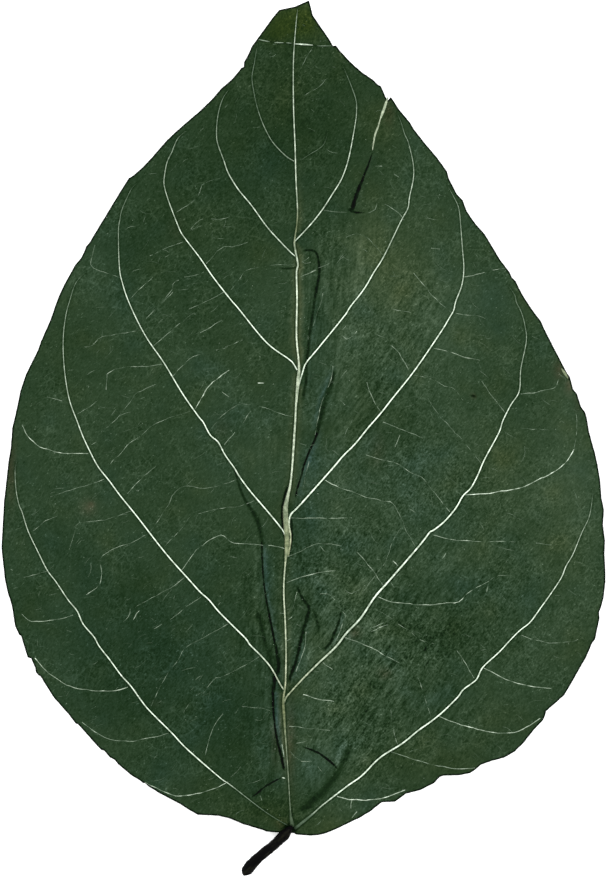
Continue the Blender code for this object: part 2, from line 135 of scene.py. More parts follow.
# The margin's corners, from the tip down the left side and up the right side
MARGIN = [
    (309, 1), (295, 7), (279, 10.5), (272, 19), (252, 46), (248, 55), (244, 62), (243.5, 67),
    (241, 68), (239, 71), (231, 80), (221, 88.5), (212, 99), (199, 111.5), (178, 129.5),
    (167, 140), (151, 158.5), (142, 168), (134, 175), (129, 178), (125, 184), (89, 243),
    (86, 246.5), (84, 252), (81, 258), (75, 265), (64, 285), (58, 298), (50, 321), (41, 341),
    (38, 350), (26, 374), (20, 391), (17, 407), (12, 428), (10.5, 448), (8.5, 460), (4, 500),
    (1.5, 548), (5, 580), (8.5, 595), (12, 606), (15, 626), (19, 634.5), (21, 636), (27.5, 657.5),
    (31, 658.5), (35, 668), (35.5, 672), (38, 675.5), (40, 676), (53, 697), (69, 715),
    (75.5, 723.5), (78, 724.5), (101, 750), (104, 750.5), (110, 757.5), (115, 760), (118, 764),
    (132, 775.5), (140, 780.5), (143, 783), (145, 783), (148, 786), (160, 793.5), (180, 804),
    (190, 810.5), (198, 815), (218, 816), (230, 819), (243, 824.5), (263, 830.5), (266, 832),
    (278, 833), (294, 833.5), (296, 835), (310, 836), (318, 835.5), (325, 834), (336, 829.5),
    (360, 818), (370, 812), (382, 802.5), (395, 802), (406, 794), (420, 790.5), (434, 783.5),
    (440, 777), (443, 776), (459, 775.5), (470, 773.5), (474, 771), (481, 765), (492, 761),
    (504, 758), (515, 751.5), (524, 742.5), (534, 729.5), (543, 720), (544.5, 717), (546, 711),
    (564, 695), (586, 657), (592, 643), (595, 639), (599.5, 618), (599, 612), (601.5, 606),
    (603.5, 598), (605.5, 582), (605.5, 572), (604.5, 555), (605, 540), (603, 525), (604, 510),
    (601.5, 498), (600, 480), (597.5, 465), (594, 450), (589, 432), (586.5, 417), (585, 412),
    (581, 407), (577, 394), (573, 389), (570, 377), (567, 373), (547, 334), (541, 321), (532, 309),
    (523, 295), (516, 281), (512, 277), (510, 272), (500, 259), (485, 234), (476, 224), (467, 211),
    (463, 200), (457, 194), (449, 178), (447, 171), (437, 157), (425, 143), (414, 129), (410, 122),
    (399, 109), (391, 96.5), (387.5, 100.5), (381, 86), (378, 84.5), (373, 79.5), (362, 72),
    (351, 62.5), (341, 52), (336, 45.5), (333, 46), (329, 39), (313, 16), (311, 8),
]

# Ribs, from their roots outwards.  All but "pixels" are (share of the length, value) pairs:
# "width" is in mm on the upper face, "tone" is the screen level, "stain" is how brown it is,
# and "halo_left" and "halo_right" are how olive the skin is beside it.
RIBS = {
    "midrib": {
        "pixels": [(292.5, 827), (291, 818), (290, 806), (287.8, 770), (283.6, 710), (283.5, 697),
            (285, 689), (285.7, 675), (286, 650), (285.2, 622), (284, 600), (284, 580),
            (286.5, 550), (287, 538), (285.6, 512), (287, 500), (291.2, 478), (295, 425),
            (296, 405), (298, 382), (299, 365), (296.5, 337), (297, 300), (296.5, 272), (298, 265),
            (295, 248), (294.5, 241), (297.5, 215), (296, 180), (295, 145), (293.5, 105),
            (293.5, 60), (296, 25), (298, 7)],
        "width": [(0, 0.75), (0.01, 0.5), (0.02, 0.2), (0.035, 0.15), (0.09, 0.18), (0.11, 0.28),
            (0.14, 0.46), (0.17, 0.27), (0.32, 0.26), (0.345, 0.75), (0.385, 0.78), (0.41, 0.42),
            (0.43, 0.29), (0.47, 0.38), (0.51, 0.3), (0.545, 0.62), (0.57, 0.3), (0.68, 0.27),
            (0.71, 0.32), (0.73, 0.22), (0.9, 0.19), (1, 0.13)],
        "tone": [(0, 70), (0.01, 85), (0.02, 92), (0.09, 108), (0.12, 128), (0.15, 132),
            (0.18, 170), (0.3, 182), (0.345, 150), (0.385, 155), (0.42, 200), (0.52, 208),
            (0.55, 192), (0.6, 222), (0.69, 205), (0.715, 140), (0.735, 88), (0.75, 140),
            (0.78, 165), (0.85, 168), (0.92, 138), (1, 125)],
        "stain": [(0, 0.2), (0.09, 0.3), (0.14, 1), (0.19, 0.4), (0.31, 0.3), (0.345, 0.85),
            (0.385, 0.45), (0.42, 0.15), (0.56, 0.2), (0.7, 0.1), (0.735, 0.9), (0.76, 0.1),
            (1, 0)],
        "halo_left": [(0, 0), (0.05, 0.2), (0.08, 0.8), (0.15, 1), (0.17, 0.4), (0.42, 0.3),
            (0.6, 0.7), (0.68, 0.5), (0.72, 0), (1, 0)],
        "halo_right": [(0, 0), (0.05, 0.3), (0.2, 0.5), (0.33, 0.3), (0.36, 0.1), (0.42, 0.5),
            (0.55, 0.6), (0.6, 0.9), (0.7, 0.9), (0.77, 0.6), (0.82, 0.2), (1, 0)],
    },
    "left_1": {
        "pixels": [(294, 161), (286, 156), (276, 146), (270, 138), (263, 124), (258, 110),
            (255, 98), (252.5, 84), (252, 76), (254, 65), (258, 42)],
        "width": [(0, 0.17), (1, 0.12)],
        "tone": [(0, 110), (0.35, 105), (0.55, 72), (0.8, 85), (1, 60)],
    },
    "left_2": {
        "pixels": [(295, 256), (288, 249.5), (268, 228), (252, 206), (238, 189), (228, 172.5),
            (224, 161), (217.5, 143), (216.5, 133), (217, 122), (219, 110), (223, 98), (229, 89)],
        "width": [(0, 0.19), (0.5, 0.19), (1, 0.13)],
        "tone": [(0, 165), (0.35, 175), (0.55, 160), (0.65, 115), (1, 90)],
    },
    "left_3": {
        "pixels": [(297, 370), (293, 363), (288, 358.5), (266, 342), (238, 308), (231, 300),
            (213, 277), (200, 258), (184, 237), (179, 228), (169, 202), (165, 189), (164, 181),
            (166, 167), (168, 160), (172, 152), (175, 144), (179, 137), (187, 130.5)],
        "width": [(0, 0.21), (0.4, 0.2), (1, 0.13)],
        "tone": [(0, 210), (0.4, 215), (0.6, 180), (0.72, 140), (1, 95)],
    },
    "left_4": {
        "pixels": [(287, 545), (285.5, 536), (281, 528), (268, 512), (250, 491), (239, 476),
            (235, 469), (225, 455), (218, 442), (210, 435), (203, 422), (198, 416), (182, 393),
            (164, 363), (148, 340), (137, 320), (128, 300), (123, 285), (119.5, 268), (118.5, 232),
            (120, 220), (122, 210), (129, 194), (133, 187), (139, 182)],
        "width": [(0, 0.23), (0.5, 0.2), (1, 0.12)],
        "tone": [(0, 185), (0.12, 225), (0.25, 180), (0.35, 220), (0.55, 190), (0.75, 170),
            (0.85, 110), (1, 60)],
    },
    "left_5": {
        "pixels": [(283.5, 690), (281, 686), (271, 668), (261, 656), (250, 645), (246, 639),
            (236, 629), (219, 612), (209, 600), (200, 592), (190, 581), (171, 560), (157, 543),
            (137, 517), (120, 496), (109, 481), (98, 467), (91, 454), (83, 437), (77, 421),
            (70, 402), (66, 382), (63.5, 357), (63.5, 335), (66, 315), (70, 300), (74, 287),
            (78, 280), (86, 271.5)],
        "width": [(0, 0.24), (0.5, 0.21), (1, 0.12)],
        "tone": [(0, 150), (0.12, 225), (0.55, 215), (0.7, 160), (0.85, 120), (1, 70)],
        "stain": [(0, 0.3), (0.1, 0), (1, 0)],
    },
    "left_6": {
        "pixels": [(288, 826), (265, 812), (230, 785), (220, 778), (187, 749), (172, 733),
            (150, 711), (141, 700), (131, 686), (121, 675), (110, 660), (99, 646), (94, 637),
            (83, 624), (77, 611), (68, 600), (56, 582), (47, 570), (37, 550), (28, 531), (22, 512),
            (19, 505), (16, 490), (15, 470), (17, 460)],
        "width": [(0, 0.13), (0.15, 0.16), (0.22, 0.22), (0.6, 0.2), (1, 0.12)],
        "tone": [(0, 60), (0.12, 95), (0.2, 215), (0.35, 215), (0.6, 175), (0.85, 150), (1, 80)],
    },
    "right_6": {
        "pixels": [(294.5, 829), (312, 815), (322, 806), (348, 786), (362, 776), (380, 758),
            (402, 744), (418, 731), (432, 721), (444, 711), (458, 697), (463, 690), (475, 681),
            (478, 677), (483, 667), (499, 652), (510, 640), (520, 630), (530, 622), (541, 607),
            (549, 596), (561, 578), (566, 566), (573, 554), (582, 532), (589, 517), (592, 500),
            (593, 488)],
        "width": [(0, 0.5), (0.03, 0.42), (0.06, 0.22), (0.3, 0.27), (0.5, 0.22), (1, 0.12)],
        "tone": [(0, 75), (0.03, 100), (0.06, 130), (0.12, 210), (0.4, 225), (0.5, 200),
            (0.65, 225), (0.8, 170), (0.95, 95), (1, 60)],
    },
    "right_5": {
        "pixels": [(284, 703), (286, 698), (291, 692), (303, 679), (319, 663), (336, 647),
            (346, 634), (361, 618), (375, 597), (390, 580), (420, 545), (430, 532), (434, 530),
            (445, 521), (456, 508), (463, 496), (471, 488), (478, 475), (485, 459), (499, 433),
            (503, 421), (511, 405), (519.5, 391), (521, 369), (526.5, 341), (525, 325),
            (521.5, 312), (516.5, 302), (515, 295), (508, 284.5)],
        "width": [(0, 0.32), (0.03, 0.26), (0.15, 0.33), (0.4, 0.28), (0.5, 0.24), (1, 0.13)],
        "tone": [(0, 130), (0.03, 150), (0.1, 195), (0.3, 235), (0.5, 230), (0.75, 190),
            (0.83, 120), (1, 75)],
        "stain": [(0, 0.6), (0.1, 0.2), (0.2, 0), (1, 0)],
    },
    "right_4": {
        "pixels": [(288, 556), (290, 545), (290.5, 535), (289, 526), (289.5, 518), (292, 513),
            (300, 505), (332, 469), (343, 456), (355, 444), (368, 428), (381, 413), (392, 399),
            (415, 370), (441, 332), (450, 317), (454, 310), (456, 301), (462, 285), (464, 268),
            (462.5, 248), (460.5, 222), (459.5, 212), (457, 203), (448, 186)],
        "width": [(0, 0.34), (0.08, 0.28), (0.3, 0.25), (0.6, 0.22), (1, 0.12)],
        "tone": [(0, 140), (0.06, 185), (0.12, 240), (0.6, 230), (0.72, 185), (0.85, 120), (1, 90)],
        "stain": [(0, 0.8), (0.05, 0.6), (0.1, 0), (1, 0)],
    },
    "right_3": {
        "pixels": [(299, 384), (303, 371), (306, 363), (320, 346), (345, 315), (350, 307),
            (364, 289), (374, 272), (384, 256), (401, 221), (408, 208), (409.5, 197), (413.5, 178),
            (413, 162), (408, 141), (405, 135), (401, 122), (397, 113)],
        "width": [(0, 0.24), (0.15, 0.22), (0.5, 0.2), (1, 0.12)],
        "tone": [(0, 190), (0.1, 235), (0.45, 210), (0.55, 145), (0.75, 150), (0.88, 105), (1, 70)],
    },
    "right_2": {
        "pixels": [(295, 241), (310, 225), (322, 210), (333, 193), (341, 180), (346.5, 166),
            (350.5, 150), (355, 125), (356.5, 112), (355.5, 98), (346, 73), (342, 65)],
        "width": [(0, 0.2), (0.5, 0.19), (1, 0.12)],
        "tone": [(0, 180), (0.45, 165), (0.65, 145), (0.8, 95), (1, 70)],
    },
    "right_1": {
        "pixels": [(301, 160), (310, 154), (320, 148), (325, 142), (328, 131)],
        "width": [(0, 0.14), (1, 0.12)],
        "tone": [(0, 45), (0.35, 72), (1, 45)],
    },
}

# The veins of the net, by how clearly they show
PALE_NET = [
    [(465, 495), (482, 494), (505, 491), (523, 487), (540, 479), (556, 471), (567, 461),
     (574, 449)], [(337, 797), (352, 800), (372, 800), (390, 796), (405, 790)],
]
CLEAR_NET = [
    [(378, 597), (392, 602), (424, 605), (448, 603), (458, 602), (470, 592), (489, 581)],
    [(228, 782), (214, 789), (196, 794), (180, 796), (168, 793), (152, 786), (145, 782)],
    [(128, 687), (112, 691), (90, 690), (72, 687), (57, 679), (45, 670), (35, 658)],
    [(22, 425), (28, 436), (38, 446), (48, 449.5), (62, 453), (88, 453.5)],
    [(438, 716), (456, 723), (485, 731), (505, 733), (521, 730), (540, 718)],
    [(195, 409), (204, 393), (210, 384), (216, 379), (229, 370)],
    [(484, 668), (508, 680), (530, 686), (551, 688)], [(325, 480), (340, 488), (351, 491)],
    [(303, 695), (320, 700), (334, 702)], [(282, 745), (284, 758)], [(258, 383), (264, 383)],
    [(393, 561), (398, 566)],
]
FIRM_NET = [
    [(287, 550), (278, 546.5), (262, 545), (234, 543), (226, 538), (221, 535), (208, 541),
     (195, 552), (182, 570)],
    [(169, 733), (150, 738), (124, 741), (108, 738.5), (94, 731), (82, 722)],
    [(345, 638), (360, 643), (377, 651), (383, 655), (399, 663)],
    [(391, 752), (430, 764), (455, 769), (475, 768)],
    [(286, 583), (302, 577), (322, 572), (336, 571)],
    [(433, 535), (450, 539), (472, 541), (516, 542)],
    [(434, 348), (450, 352), (463, 356), (480, 360)],
    [(333, 366), (330, 382), (321, 405), (315, 435)], [(73, 615), (55, 620), (31, 621), (22, 614)],
    [(343, 336), (348, 339), (357, 331)], [(291, 518), (320, 518.5), (352, 518)],
    [(521, 394), (536, 392), (555, 387), (558, 380), (561, 375)],
    [(457, 651), (466, 664), (474, 678)], [(367, 382), (373, 399), (381, 412)],
    [(306, 632), (304, 648), (296, 672)], [(130, 609), (129, 616), (122, 623)],
    [(368, 213), (375, 209), (377, 202)], [(357, 552), (367, 563), (383, 585)],
    [(323, 663), (333, 670)], [(464, 277), (485, 272)], [(87, 447), (96, 442)],
    [(243, 423), (251, 411)], [(371, 632), (388, 625)], [(340, 400), (345, 405)],
    [(341, 378), (347, 370)], [(372, 628), (384, 623)], [(224, 445), (235, 432)],
    [(139, 611), (133, 620)], [(292, 617), (288, 620)], [(292, 638), (287, 641)],
    [(280, 613), (285, 614)], [(262, 801), (260, 796)], [(352, 800), (351, 809)],
    [(357, 812), (352, 818)], [(375, 166), (382, 166)],
]
SOFT_NET = [
    [(366, 455), (383, 460), (400, 465), (413, 474), (422, 477), (431, 488), (450, 512)],
    [(351, 491), (366, 497), (385, 501), (392, 503), (402, 520), (407, 532), (416, 547)],
    [(147, 534), (133, 542), (117, 548), (103, 555), (100, 561), (100, 583), (86, 595)],
    [(139.5, 436.5), (131, 442), (126.5, 446), (120, 454), (114, 459), (105, 472)],
    [(206, 264), (212, 258), (217, 252), (225, 246), (232, 247), (248, 242)],
    [(521, 635), (535, 640), (553, 643), (573, 641), (578, 639)],
    [(162, 364), (146, 366.5), (130, 366.5), (116, 369), (107, 374)],
    [(287, 557), (302, 551), (317, 544), (343, 545.5)],
    [(414, 273), (428, 290), (443, 305), (451, 312)],
    [(456, 313), (466, 315), (478, 316), (487, 319)],
    [(173, 376), (183, 365), (192, 357), (201, 354)], [(104, 479), (88, 485), (70, 490), (50, 497)],
    [(343, 623), (339, 634), (335, 642)], [(107, 374), (107, 381), (106, 390)],
    [(127, 494), (137, 482), (156, 466)], [(391, 345), (399, 353), (409, 370)],
    [(345, 434), (350, 425), (353, 418)], [(320, 594), (328, 594), (335, 600)],
    [(343, 612), (346, 617), (342, 625)], [(223, 714), (213, 728), (204, 759)],
    [(323, 293), (318, 311), (313, 326)], [(224, 292), (209, 300), (189, 309)],
    [(385, 204), (399, 213), (404, 220)], [(184, 578), (170, 588), (137, 606)],
    [(191, 229), (199, 221), (203, 219)], [(211, 219), (224, 218.5), (231, 216)],
    [(302, 66), (307, 56), (313, 47)], [(289, 727), (330, 731)], [(383, 422), (423, 438)],
    [(309, 325), (308, 340)], [(393, 309), (411, 312)], [(493, 270), (505, 268)],
    [(400, 435), (395, 447)], [(297, 592), (293, 608)], [(301, 762), (312, 762)],
    [(346, 326), (342, 330)], [(309, 461), (303, 488)], [(302, 262), (309, 257)],
    [(394, 174), (399, 177)], [(431, 248), (440, 249)], [(300, 277), (316, 270)],
    [(130, 299), (153, 277)], [(200, 333), (222, 320)], [(153, 346), (180, 323)],
    [(229, 397), (222, 392)],
]
FAINT_NET = [
    [(376, 610), (388, 616), (398, 625), (409, 631), (420, 640), (434, 644)],
    [(574, 449), (576, 436), (577, 424), (576, 414)], [(561, 375), (565, 377), (566, 382)],
    [(150, 532), (168, 505), (173, 494), (185, 486), (205, 488.5), (225, 484), (237, 479)],
    [(254, 501), (236, 507), (226, 507.5), (206, 512), (191, 517), (182, 528), (164, 547)],
    [(259, 657), (244, 666), (222, 677), (216, 677), (205, 690), (193, 699), (183, 713)],
    [(131, 511), (108, 519), (95, 521), (79, 523), (75, 530), (68, 553)],
    [(228, 624), (205, 637), (186, 648), (178, 660), (166, 676), (151, 706)],
    [(231, 290), (240, 279), (247, 270), (265, 266), (283, 264.5), (297, 265)],
    [(142, 330), (113, 335), (100, 338), (92, 346), (85, 347)],
    [(401, 528), (392, 543), (385, 562), (371, 581), (362, 594)],
    [(415, 375), (432, 379), (445, 386), (455, 389), (463, 400)],
    [(346, 237), (354, 234), (361, 234), (370, 240), (384, 256)],
    [(156, 384), (137, 393), (130, 401), (118, 417), (101, 432)],
    [(119, 277), (104, 272), (92, 267), (91.5, 260), (95, 245)],
    [(428, 398), (437, 412), (455, 432), (463, 440), (482, 464)],
    [(179, 280), (173, 283), (172, 290), (160, 304), (142, 322)],
    [(210, 430), (222, 416), (233, 407), (241, 404), (250, 405)],
    [(293, 416.5), (284, 415), (277, 412), (258, 406)],
    [(418, 678), (423, 690), (427, 706), (432, 718)],
    [(176, 212.5), (197, 198), (202, 185), (213, 180)],
    [(190, 411), (158, 422), (150, 427), (139, 437)],
    [(201, 597), (186, 607), (173, 618), (154, 629)], [(48, 571), (30, 576), (20, 576), (11, 569)],
    [(311, 262), (305, 264), (302, 262)], [(345, 590), (352, 594), (361, 588)],
    [(273, 712), (257, 708), (242, 707)], [(204, 272), (197, 275), (184, 277)],
    [(183, 242), (165, 249), (150, 256)], [(77, 414), (89, 407), (100, 398)],
    [(216, 350), (228, 347), (240, 340)], [(33, 531), (46, 521), (57, 516)],
    [(311, 272), (318, 268), (330, 263)], [(324, 210), (335, 211.5), (347, 212)],
    [(304, 96), (322, 84), (327, 77)], [(511, 575), (497, 576), (489, 581)],
    [(391, 710), (393, 730), (398, 745)], [(536, 543), (552, 545)], [(320, 546), (326, 553)],
    [(482, 381), (506, 414)], [(337, 263), (348, 252)], [(425, 218), (437, 220)],
    [(521, 428), (550, 430)], [(345, 250), (338, 262)], [(340, 274), (335, 281)],
    [(237, 558), (229, 556)], [(296, 744), (306, 742)], [(226, 220), (222, 234)],
    [(146, 319), (173, 292)], [(62, 401), (47, 397)], [(225, 347), (243, 340)],
    [(304, 407), (320, 404)],
]

# Folds and cracks pressed into the blade.  "reach" is the half width in pixels at shares of
# the length, "dark" how much painted shade darkens it (less than 0: a pale ridge), "soft" how
# gently it fades sideways, and "lit" how strongly the skin beside it is lifted and given a
# painted highlight: more than 0 on the left seen along the line, less than 0 on the right.
CREASES = [
    {"pixels": [(258, 40), (280, 43.5), (310, 46), (330, 46.5)], "reach": [(0, 0.8)], "dark": 0.3},
    {"pixels": [(372, 154), (367, 168), (356.5, 195), (352, 211)],
     "reach": [(0, 0.5), (0.35, 1), (0.6, 1.6), (1, 2.1)], "dark": 1, "lit": 0.3},
    {"pixels": [(349, 209.5), (353, 211.5), (358, 212.5), (364, 212.5)],
     "reach": [(0, 1.2), (0.4, 1), (1, 0.5)], "dark": 0.9, "soft": 0.3},
    {"pixels": [(234, 468), (242, 494), (254.5, 515), (258.3, 523.5), (262.5, 543)],
     "reach": [(0, 0.6), (0.4, 1.2), (0.7, 2), (0.9, 1.6), (1, 1.2)],
     "dark": 0.58, "lit": 0.2, "soft": 0.8},
    {"pixels": [(262.3, 540), (262, 556), (265, 592), (275.5, 646)],
     "reach": [(0, 1.1), (0.15, 0.8), (0.5, 0.75), (0.75, 1), (1, 1.2)],
     "dark": 0.97, "lit": 0.8, "soft": 0.1},
    {"pixels": [(274.8, 642), (278.3, 662), (278, 675)],
     "reach": [(0, 1.2), (0.5, 1.8), (1, 1.6)], "dark": 0.88, "lit": 0.3, "soft": 0.4},
    {"pixels": [(258, 612), (263, 635), (269, 655), (274, 675)],
     "reach": [(0, 1.2), (0.6, 2), (1, 2.4)], "dark": 0.5, "soft": 0.9},
    {"pixels": [(276, 671), (273.2, 692)],
     "reach": [(0, 2.6), (1, 1.4)], "dark": 0.95, "soft": 0.4},
    {"pixels": [(273, 686), (273.5, 715), (277, 740), (282, 760), (284, 771)],
     "reach": [(0, 1.4), (0.2, 1.2), (0.4, 0.9), (0.7, 1.1), (0.85, 1.4), (1, 1)],
     "dark": 1, "lit": 0.9},
    {"pixels": [(304, 250.5), (312, 250), (317, 254), (319, 265), (319, 275), (314.5, 300)],
     "reach": [(0, 0.8), (0.5, 1.2), (1, 1.3)], "dark": 0.8, "soft": 0.5},
    {"pixels": [(314.8, 298), (309.5, 335), (308, 350), (306.5, 362), (306, 380), (303, 398)],
     "reach": [(0, 1.3), (1, 1.5)], "dark": 0.62, "lit": 0.4, "soft": 0.7},
    {"pixels": [(335, 370), (331, 384), (323, 408), (317.5, 432)],
     "reach": [(0, 1.2), (0.5, 2.8), (1, 1.6)], "dark": 0.55, "lit": -0.8, "soft": 0.9},
    {"pixels": [(319, 428), (314.7, 440), (310, 450), (304.2, 465), (301.5, 475), (297.5, 488),
     (295.5, 497)],
     "reach": [(0, 1.3), (0.4, 0.9), (1, 0.8)], "dark": 1, "lit": 0.7},
    {"pixels": [(287.5, 486), (283.7, 500), (282.2, 512), (282.7, 525), (284.5, 537)],
     "reach": [(0, 0.9), (0.4, 1.4), (1, 1)], "dark": 0.85, "soft": 0.4},
    {"pixels": [(291.5, 519), (292, 535), (290, 549)],
     "reach": [(0, 0.8), (0.5, 1.1), (1, 0.8)], "dark": 0.75, "soft": 0.5},
    {"pixels": [(298, 588), (302, 598), (308, 606), (309.5, 611)],
     "reach": [(0, 1), (1, 1.5)], "dark": 0.75, "soft": 0.6},
    {"pixels": [(309.5, 609), (306, 622), (302, 635), (296, 662), (292, 672), (289, 683)],
     "reach": [(0, 1.5), (0.3, 1.6), (1, 1.3)], "dark": 0.88, "lit": 0.5, "soft": 0.45},
    {"pixels": [(314, 611), (317, 622), (319, 634)],
     "reach": [(0, 1.5)], "dark": 0.55, "soft": 0.7},
    {"pixels": [(341, 612), (339, 622), (335, 632), (331, 642), (324, 650)],
     "reach": [(0, 0.8), (0.6, 1.3), (1, 1.5)], "dark": 0.8, "lit": 0.5, "soft": 0.5},
    {"pixels": [(304, 748), (318, 753.5), (331, 763), (337, 769)],
     "reach": [(0, 0.6), (0.3, 1), (0.8, 1.1), (1, 0.7)], "dark": 1},
    {"pixels": [(280, 779), (266, 786.5), (257, 794), (252, 797)],
     "reach": [(0, 0.6), (0.4, 1.1), (0.55, 0.5), (0.7, 1), (1, 0.6)], "dark": 0.97},
    {"pixels": [(352, 745), (337, 774), (328, 787), (318, 797), (300, 812)],
     "reach": [(0, 1.5), (0.3, 2.6), (0.7, 3.6), (1, 2.5)], "dark": 0.5, "soft": 1},
    {"pixels": [(472, 395.5), (475, 396.5)], "reach": [(0, 1.3)], "dark": 1},
    {"pixels": [(568.5, 378), (570, 380)], "reach": [(0, 1)], "dark": 1},
    {"pixels": [(280, 268), (288, 268.5), (297, 267)],
     "reach": [(0, 0.9)], "dark": 0.5, "soft": 0.4},
    {"pixels": [(283, 828), (290, 829), (297, 831)],
     "reach": [(0, 2.2), (0.5, 3.2), (1, 2)], "dark": 0.8, "soft": 1},
    {"pixels": [(362, 238), (357, 300)], "reach": [(0, 3)], "dark": -0.28, "soft": 1},
    {"pixels": [(349, 738), (341, 753), (335, 767)],
     "reach": [(0, 2.4)], "dark": -0.4, "soft": 0.9},
    {"pixels": [(375, 741), (363, 764)], "reach": [(0, 1.2)], "dark": -0.4, "soft": 0.8},
    {"pixels": [(256, 548), (254.5, 575), (256, 604)],
     "reach": [(0, 2.4)], "dark": -0.25, "soft": 1},
    {"pixels": [(313, 638), (309, 655), (304, 670)],
     "reach": [(0, 1.2)], "dark": -0.3, "soft": 0.8},
    {"pixels": [(408, 268), (398, 292), (392, 312)], "reach": [(0, 4)], "dark": -0.15, "soft": 1},
]

# Soft patches on the skin: paler, deeper or of another hue, the teal ones partly a painted
# bluish sheen, then where it is grainier, and where painted light and shade of wrinkles runs
# upright or slantwise.  Each has a middle pixel, a half width and a half height in pixels, and a
# strength.
PATCHES = {
    "pale": [
        (360, 300, 38, 62, 0.65), (410, 275, 50, 60, 0.45), (450, 330, 46, 56, 0.55),
        (520, 480, 56, 56, 0.5), (322, 665, 26, 40, 0.8), (322, 735, 30, 40, 0.5),
        (588, 545, 22, 60, 0.5), (400, 520, 60, 40, 0.2), (345, 600, 28, 30, 0.5),
        (262, 455, 28, 26, 0.45), (268, 300, 18, 30, 0.25), (345, 395, 24, 30, 0.35),
        (312, 768, 14, 20, 0.5), (370, 600, 40, 60, 0.2), (368, 625, 6, 9, 0.6),
        (265, 750, 9, 16, 0.4), (268, 565, 4, 24, 0.5), (470, 580, 60, 40, 0.2),
        (480, 420, 60, 40, 0.15), (545, 640, 30, 30, 0.3), (360, 230, 20, 40, 0.35),
        (340, 480, 14, 110, 0.4), (568, 430, 24, 100, 0.5), (430, 340, 40, 60, 0.25),
        (215, 485, 40, 30, 0.3), (385, 648, 30, 20, 0.6), (300, 370, 10, 40, 0.4),
        (170, 555, 30, 30, 0.2), (88, 508, 8, 9, 0.9), (262, 655, 12, 24, 0.4), (569, 387, 3, 9, 1),
    ],
    "deep": [
        (285, 100, 75, 85, 0.85), (195, 185, 60, 60, 0.75), (330, 165, 40, 60, 0.4),
        (150, 260, 60, 50, 0.35), (120, 655, 90, 70, 0.5), (170, 640, 40, 60, 0.3),
        (235, 745, 60, 60, 0.75), (425, 645, 45, 34, 0.65), (120, 590, 50, 30, 0.3),
        (318, 315, 16, 60, 0.35), (308, 620, 18, 40, 0.2), (270, 812, 40, 20, 0.9),
        (222, 560, 30, 40, 0.2), (305, 530, 10, 26, 0.5), (240, 330, 50, 40, 0.2),
        (130, 710, 60, 30, 0.4), (353, 562, 8, 10, 0.5),
    ],
    # teal_and_sheen: cooler patches of the skin's own colour, and thin strips beside creases that
    # are a painted bluish sheen
    "teal_and_sheen": [
        (268, 160, 26, 34, 0.5), (230, 420, 26, 16, 0.5), (268, 570, 6, 30, 1),
        (305, 530, 20, 40, 0.7), (405, 470, 45, 30, 0.3), (110, 240, 26, 40, 0.4),
        (60, 560, 60, 60, 0.3), (240, 470, 26, 26, 0.3), (490, 300, 24, 26, 0.6),
        (470, 590, 45, 22, 0.4), (450, 530, 22, 14, 0.4), (320, 340, 14, 50, 0.6),
        (230, 720, 60, 50, 0.6), (110, 650, 90, 60, 0.5), (180, 640, 60, 60, 0.5),
        (312, 768, 16, 22, 0.7), (277, 705, 3, 30, 0.9), (312, 460, 10, 30, 0.7),
        (265, 750, 9, 16, 0.9), (300, 655, 8, 26, 0.5),
    ],
    "olive": [
        (300, 22, 40, 22, 1), (375, 250, 26, 60, 0.7), (330, 330, 22, 50, 0.2),
        (360, 450, 16, 40, 0.6), (450, 770, 80, 16, 0.6), (260, 812, 40, 14, 0.8),
        (195, 225, 26, 40, 0.3), (390, 130, 16, 30, 0.5), (250, 345, 22, 20, 0.35),
        (285, 90, 60, 60, 0.4), (330, 828, 50, 12, 0.9), (500, 470, 30, 40, 0.5),
        (410, 260, 40, 40, 0.5), (560, 540, 30, 60, 0.4), (297, 690, 8, 10, 0.8),
        (281, 825, 8, 6, 0.8),
    ],
    "brown": [
        (88, 508, 8, 9, 0.28), (91, 505, 3, 3, 0.3), (355, 633, 5, 6, 0.3), (385, 674, 7, 5, 0.25),
        (559, 370, 5, 9, 0.45), (569, 386, 4, 8, 0.4), (156, 703, 5, 4, 0.2),
        (222, 428, 8, 10, 0.12), (176, 228, 7, 14, 0.12), (378, 450, 7, 16, 0.15),
        (474, 396, 2, 2, 0.5), (11, 468, 4, 34, 0.45), (281, 825, 6, 5, 0.25),
        (389, 112, 5, 12, 0.35), (275, 745, 4, 20, 0.3), (291, 740, 4, 40, 0.3),
        (580, 398, 4, 12, 0.35),
    ],
    "moss": [
        (285, 24, 26, 17, 1), (308, 20, 16, 20, 0.8), (272, 36, 14, 8, 0.5),
    ],
    "rough": [
        (390, 340, 50, 60, 0.9), (340, 580, 50, 70, 1), (360, 720, 60, 60, 1),
        (425, 480, 60, 50, 0.7), (410, 640, 70, 50, 0.7), (500, 520, 90, 90, 0.35),
        (520, 630, 60, 50, 0.4), (255, 590, 20, 50, 0.4), (330, 260, 20, 30, 0.5),
    ],
    "upright": [
        (262, 620, 24, 70, 1), (322, 310, 30, 80, 1), (275, 740, 16, 60, 0.9),
        (312, 765, 18, 30, 0.8), (300, 560, 16, 60, 0.5), (370, 250, 30, 50, 0.5),
        (268, 440, 26, 50, 0.4),
    ],
    "slanted": [
        (335, 610, 46, 60, 1), (355, 715, 60, 60, 1), (360, 400, 50, 60, 0.8),
        (400, 640, 60, 60, 0.6), (450, 560, 80, 60, 0.5), (420, 320, 50, 70, 0.5),
        (450, 700, 50, 50, 0.5),
    ],
}

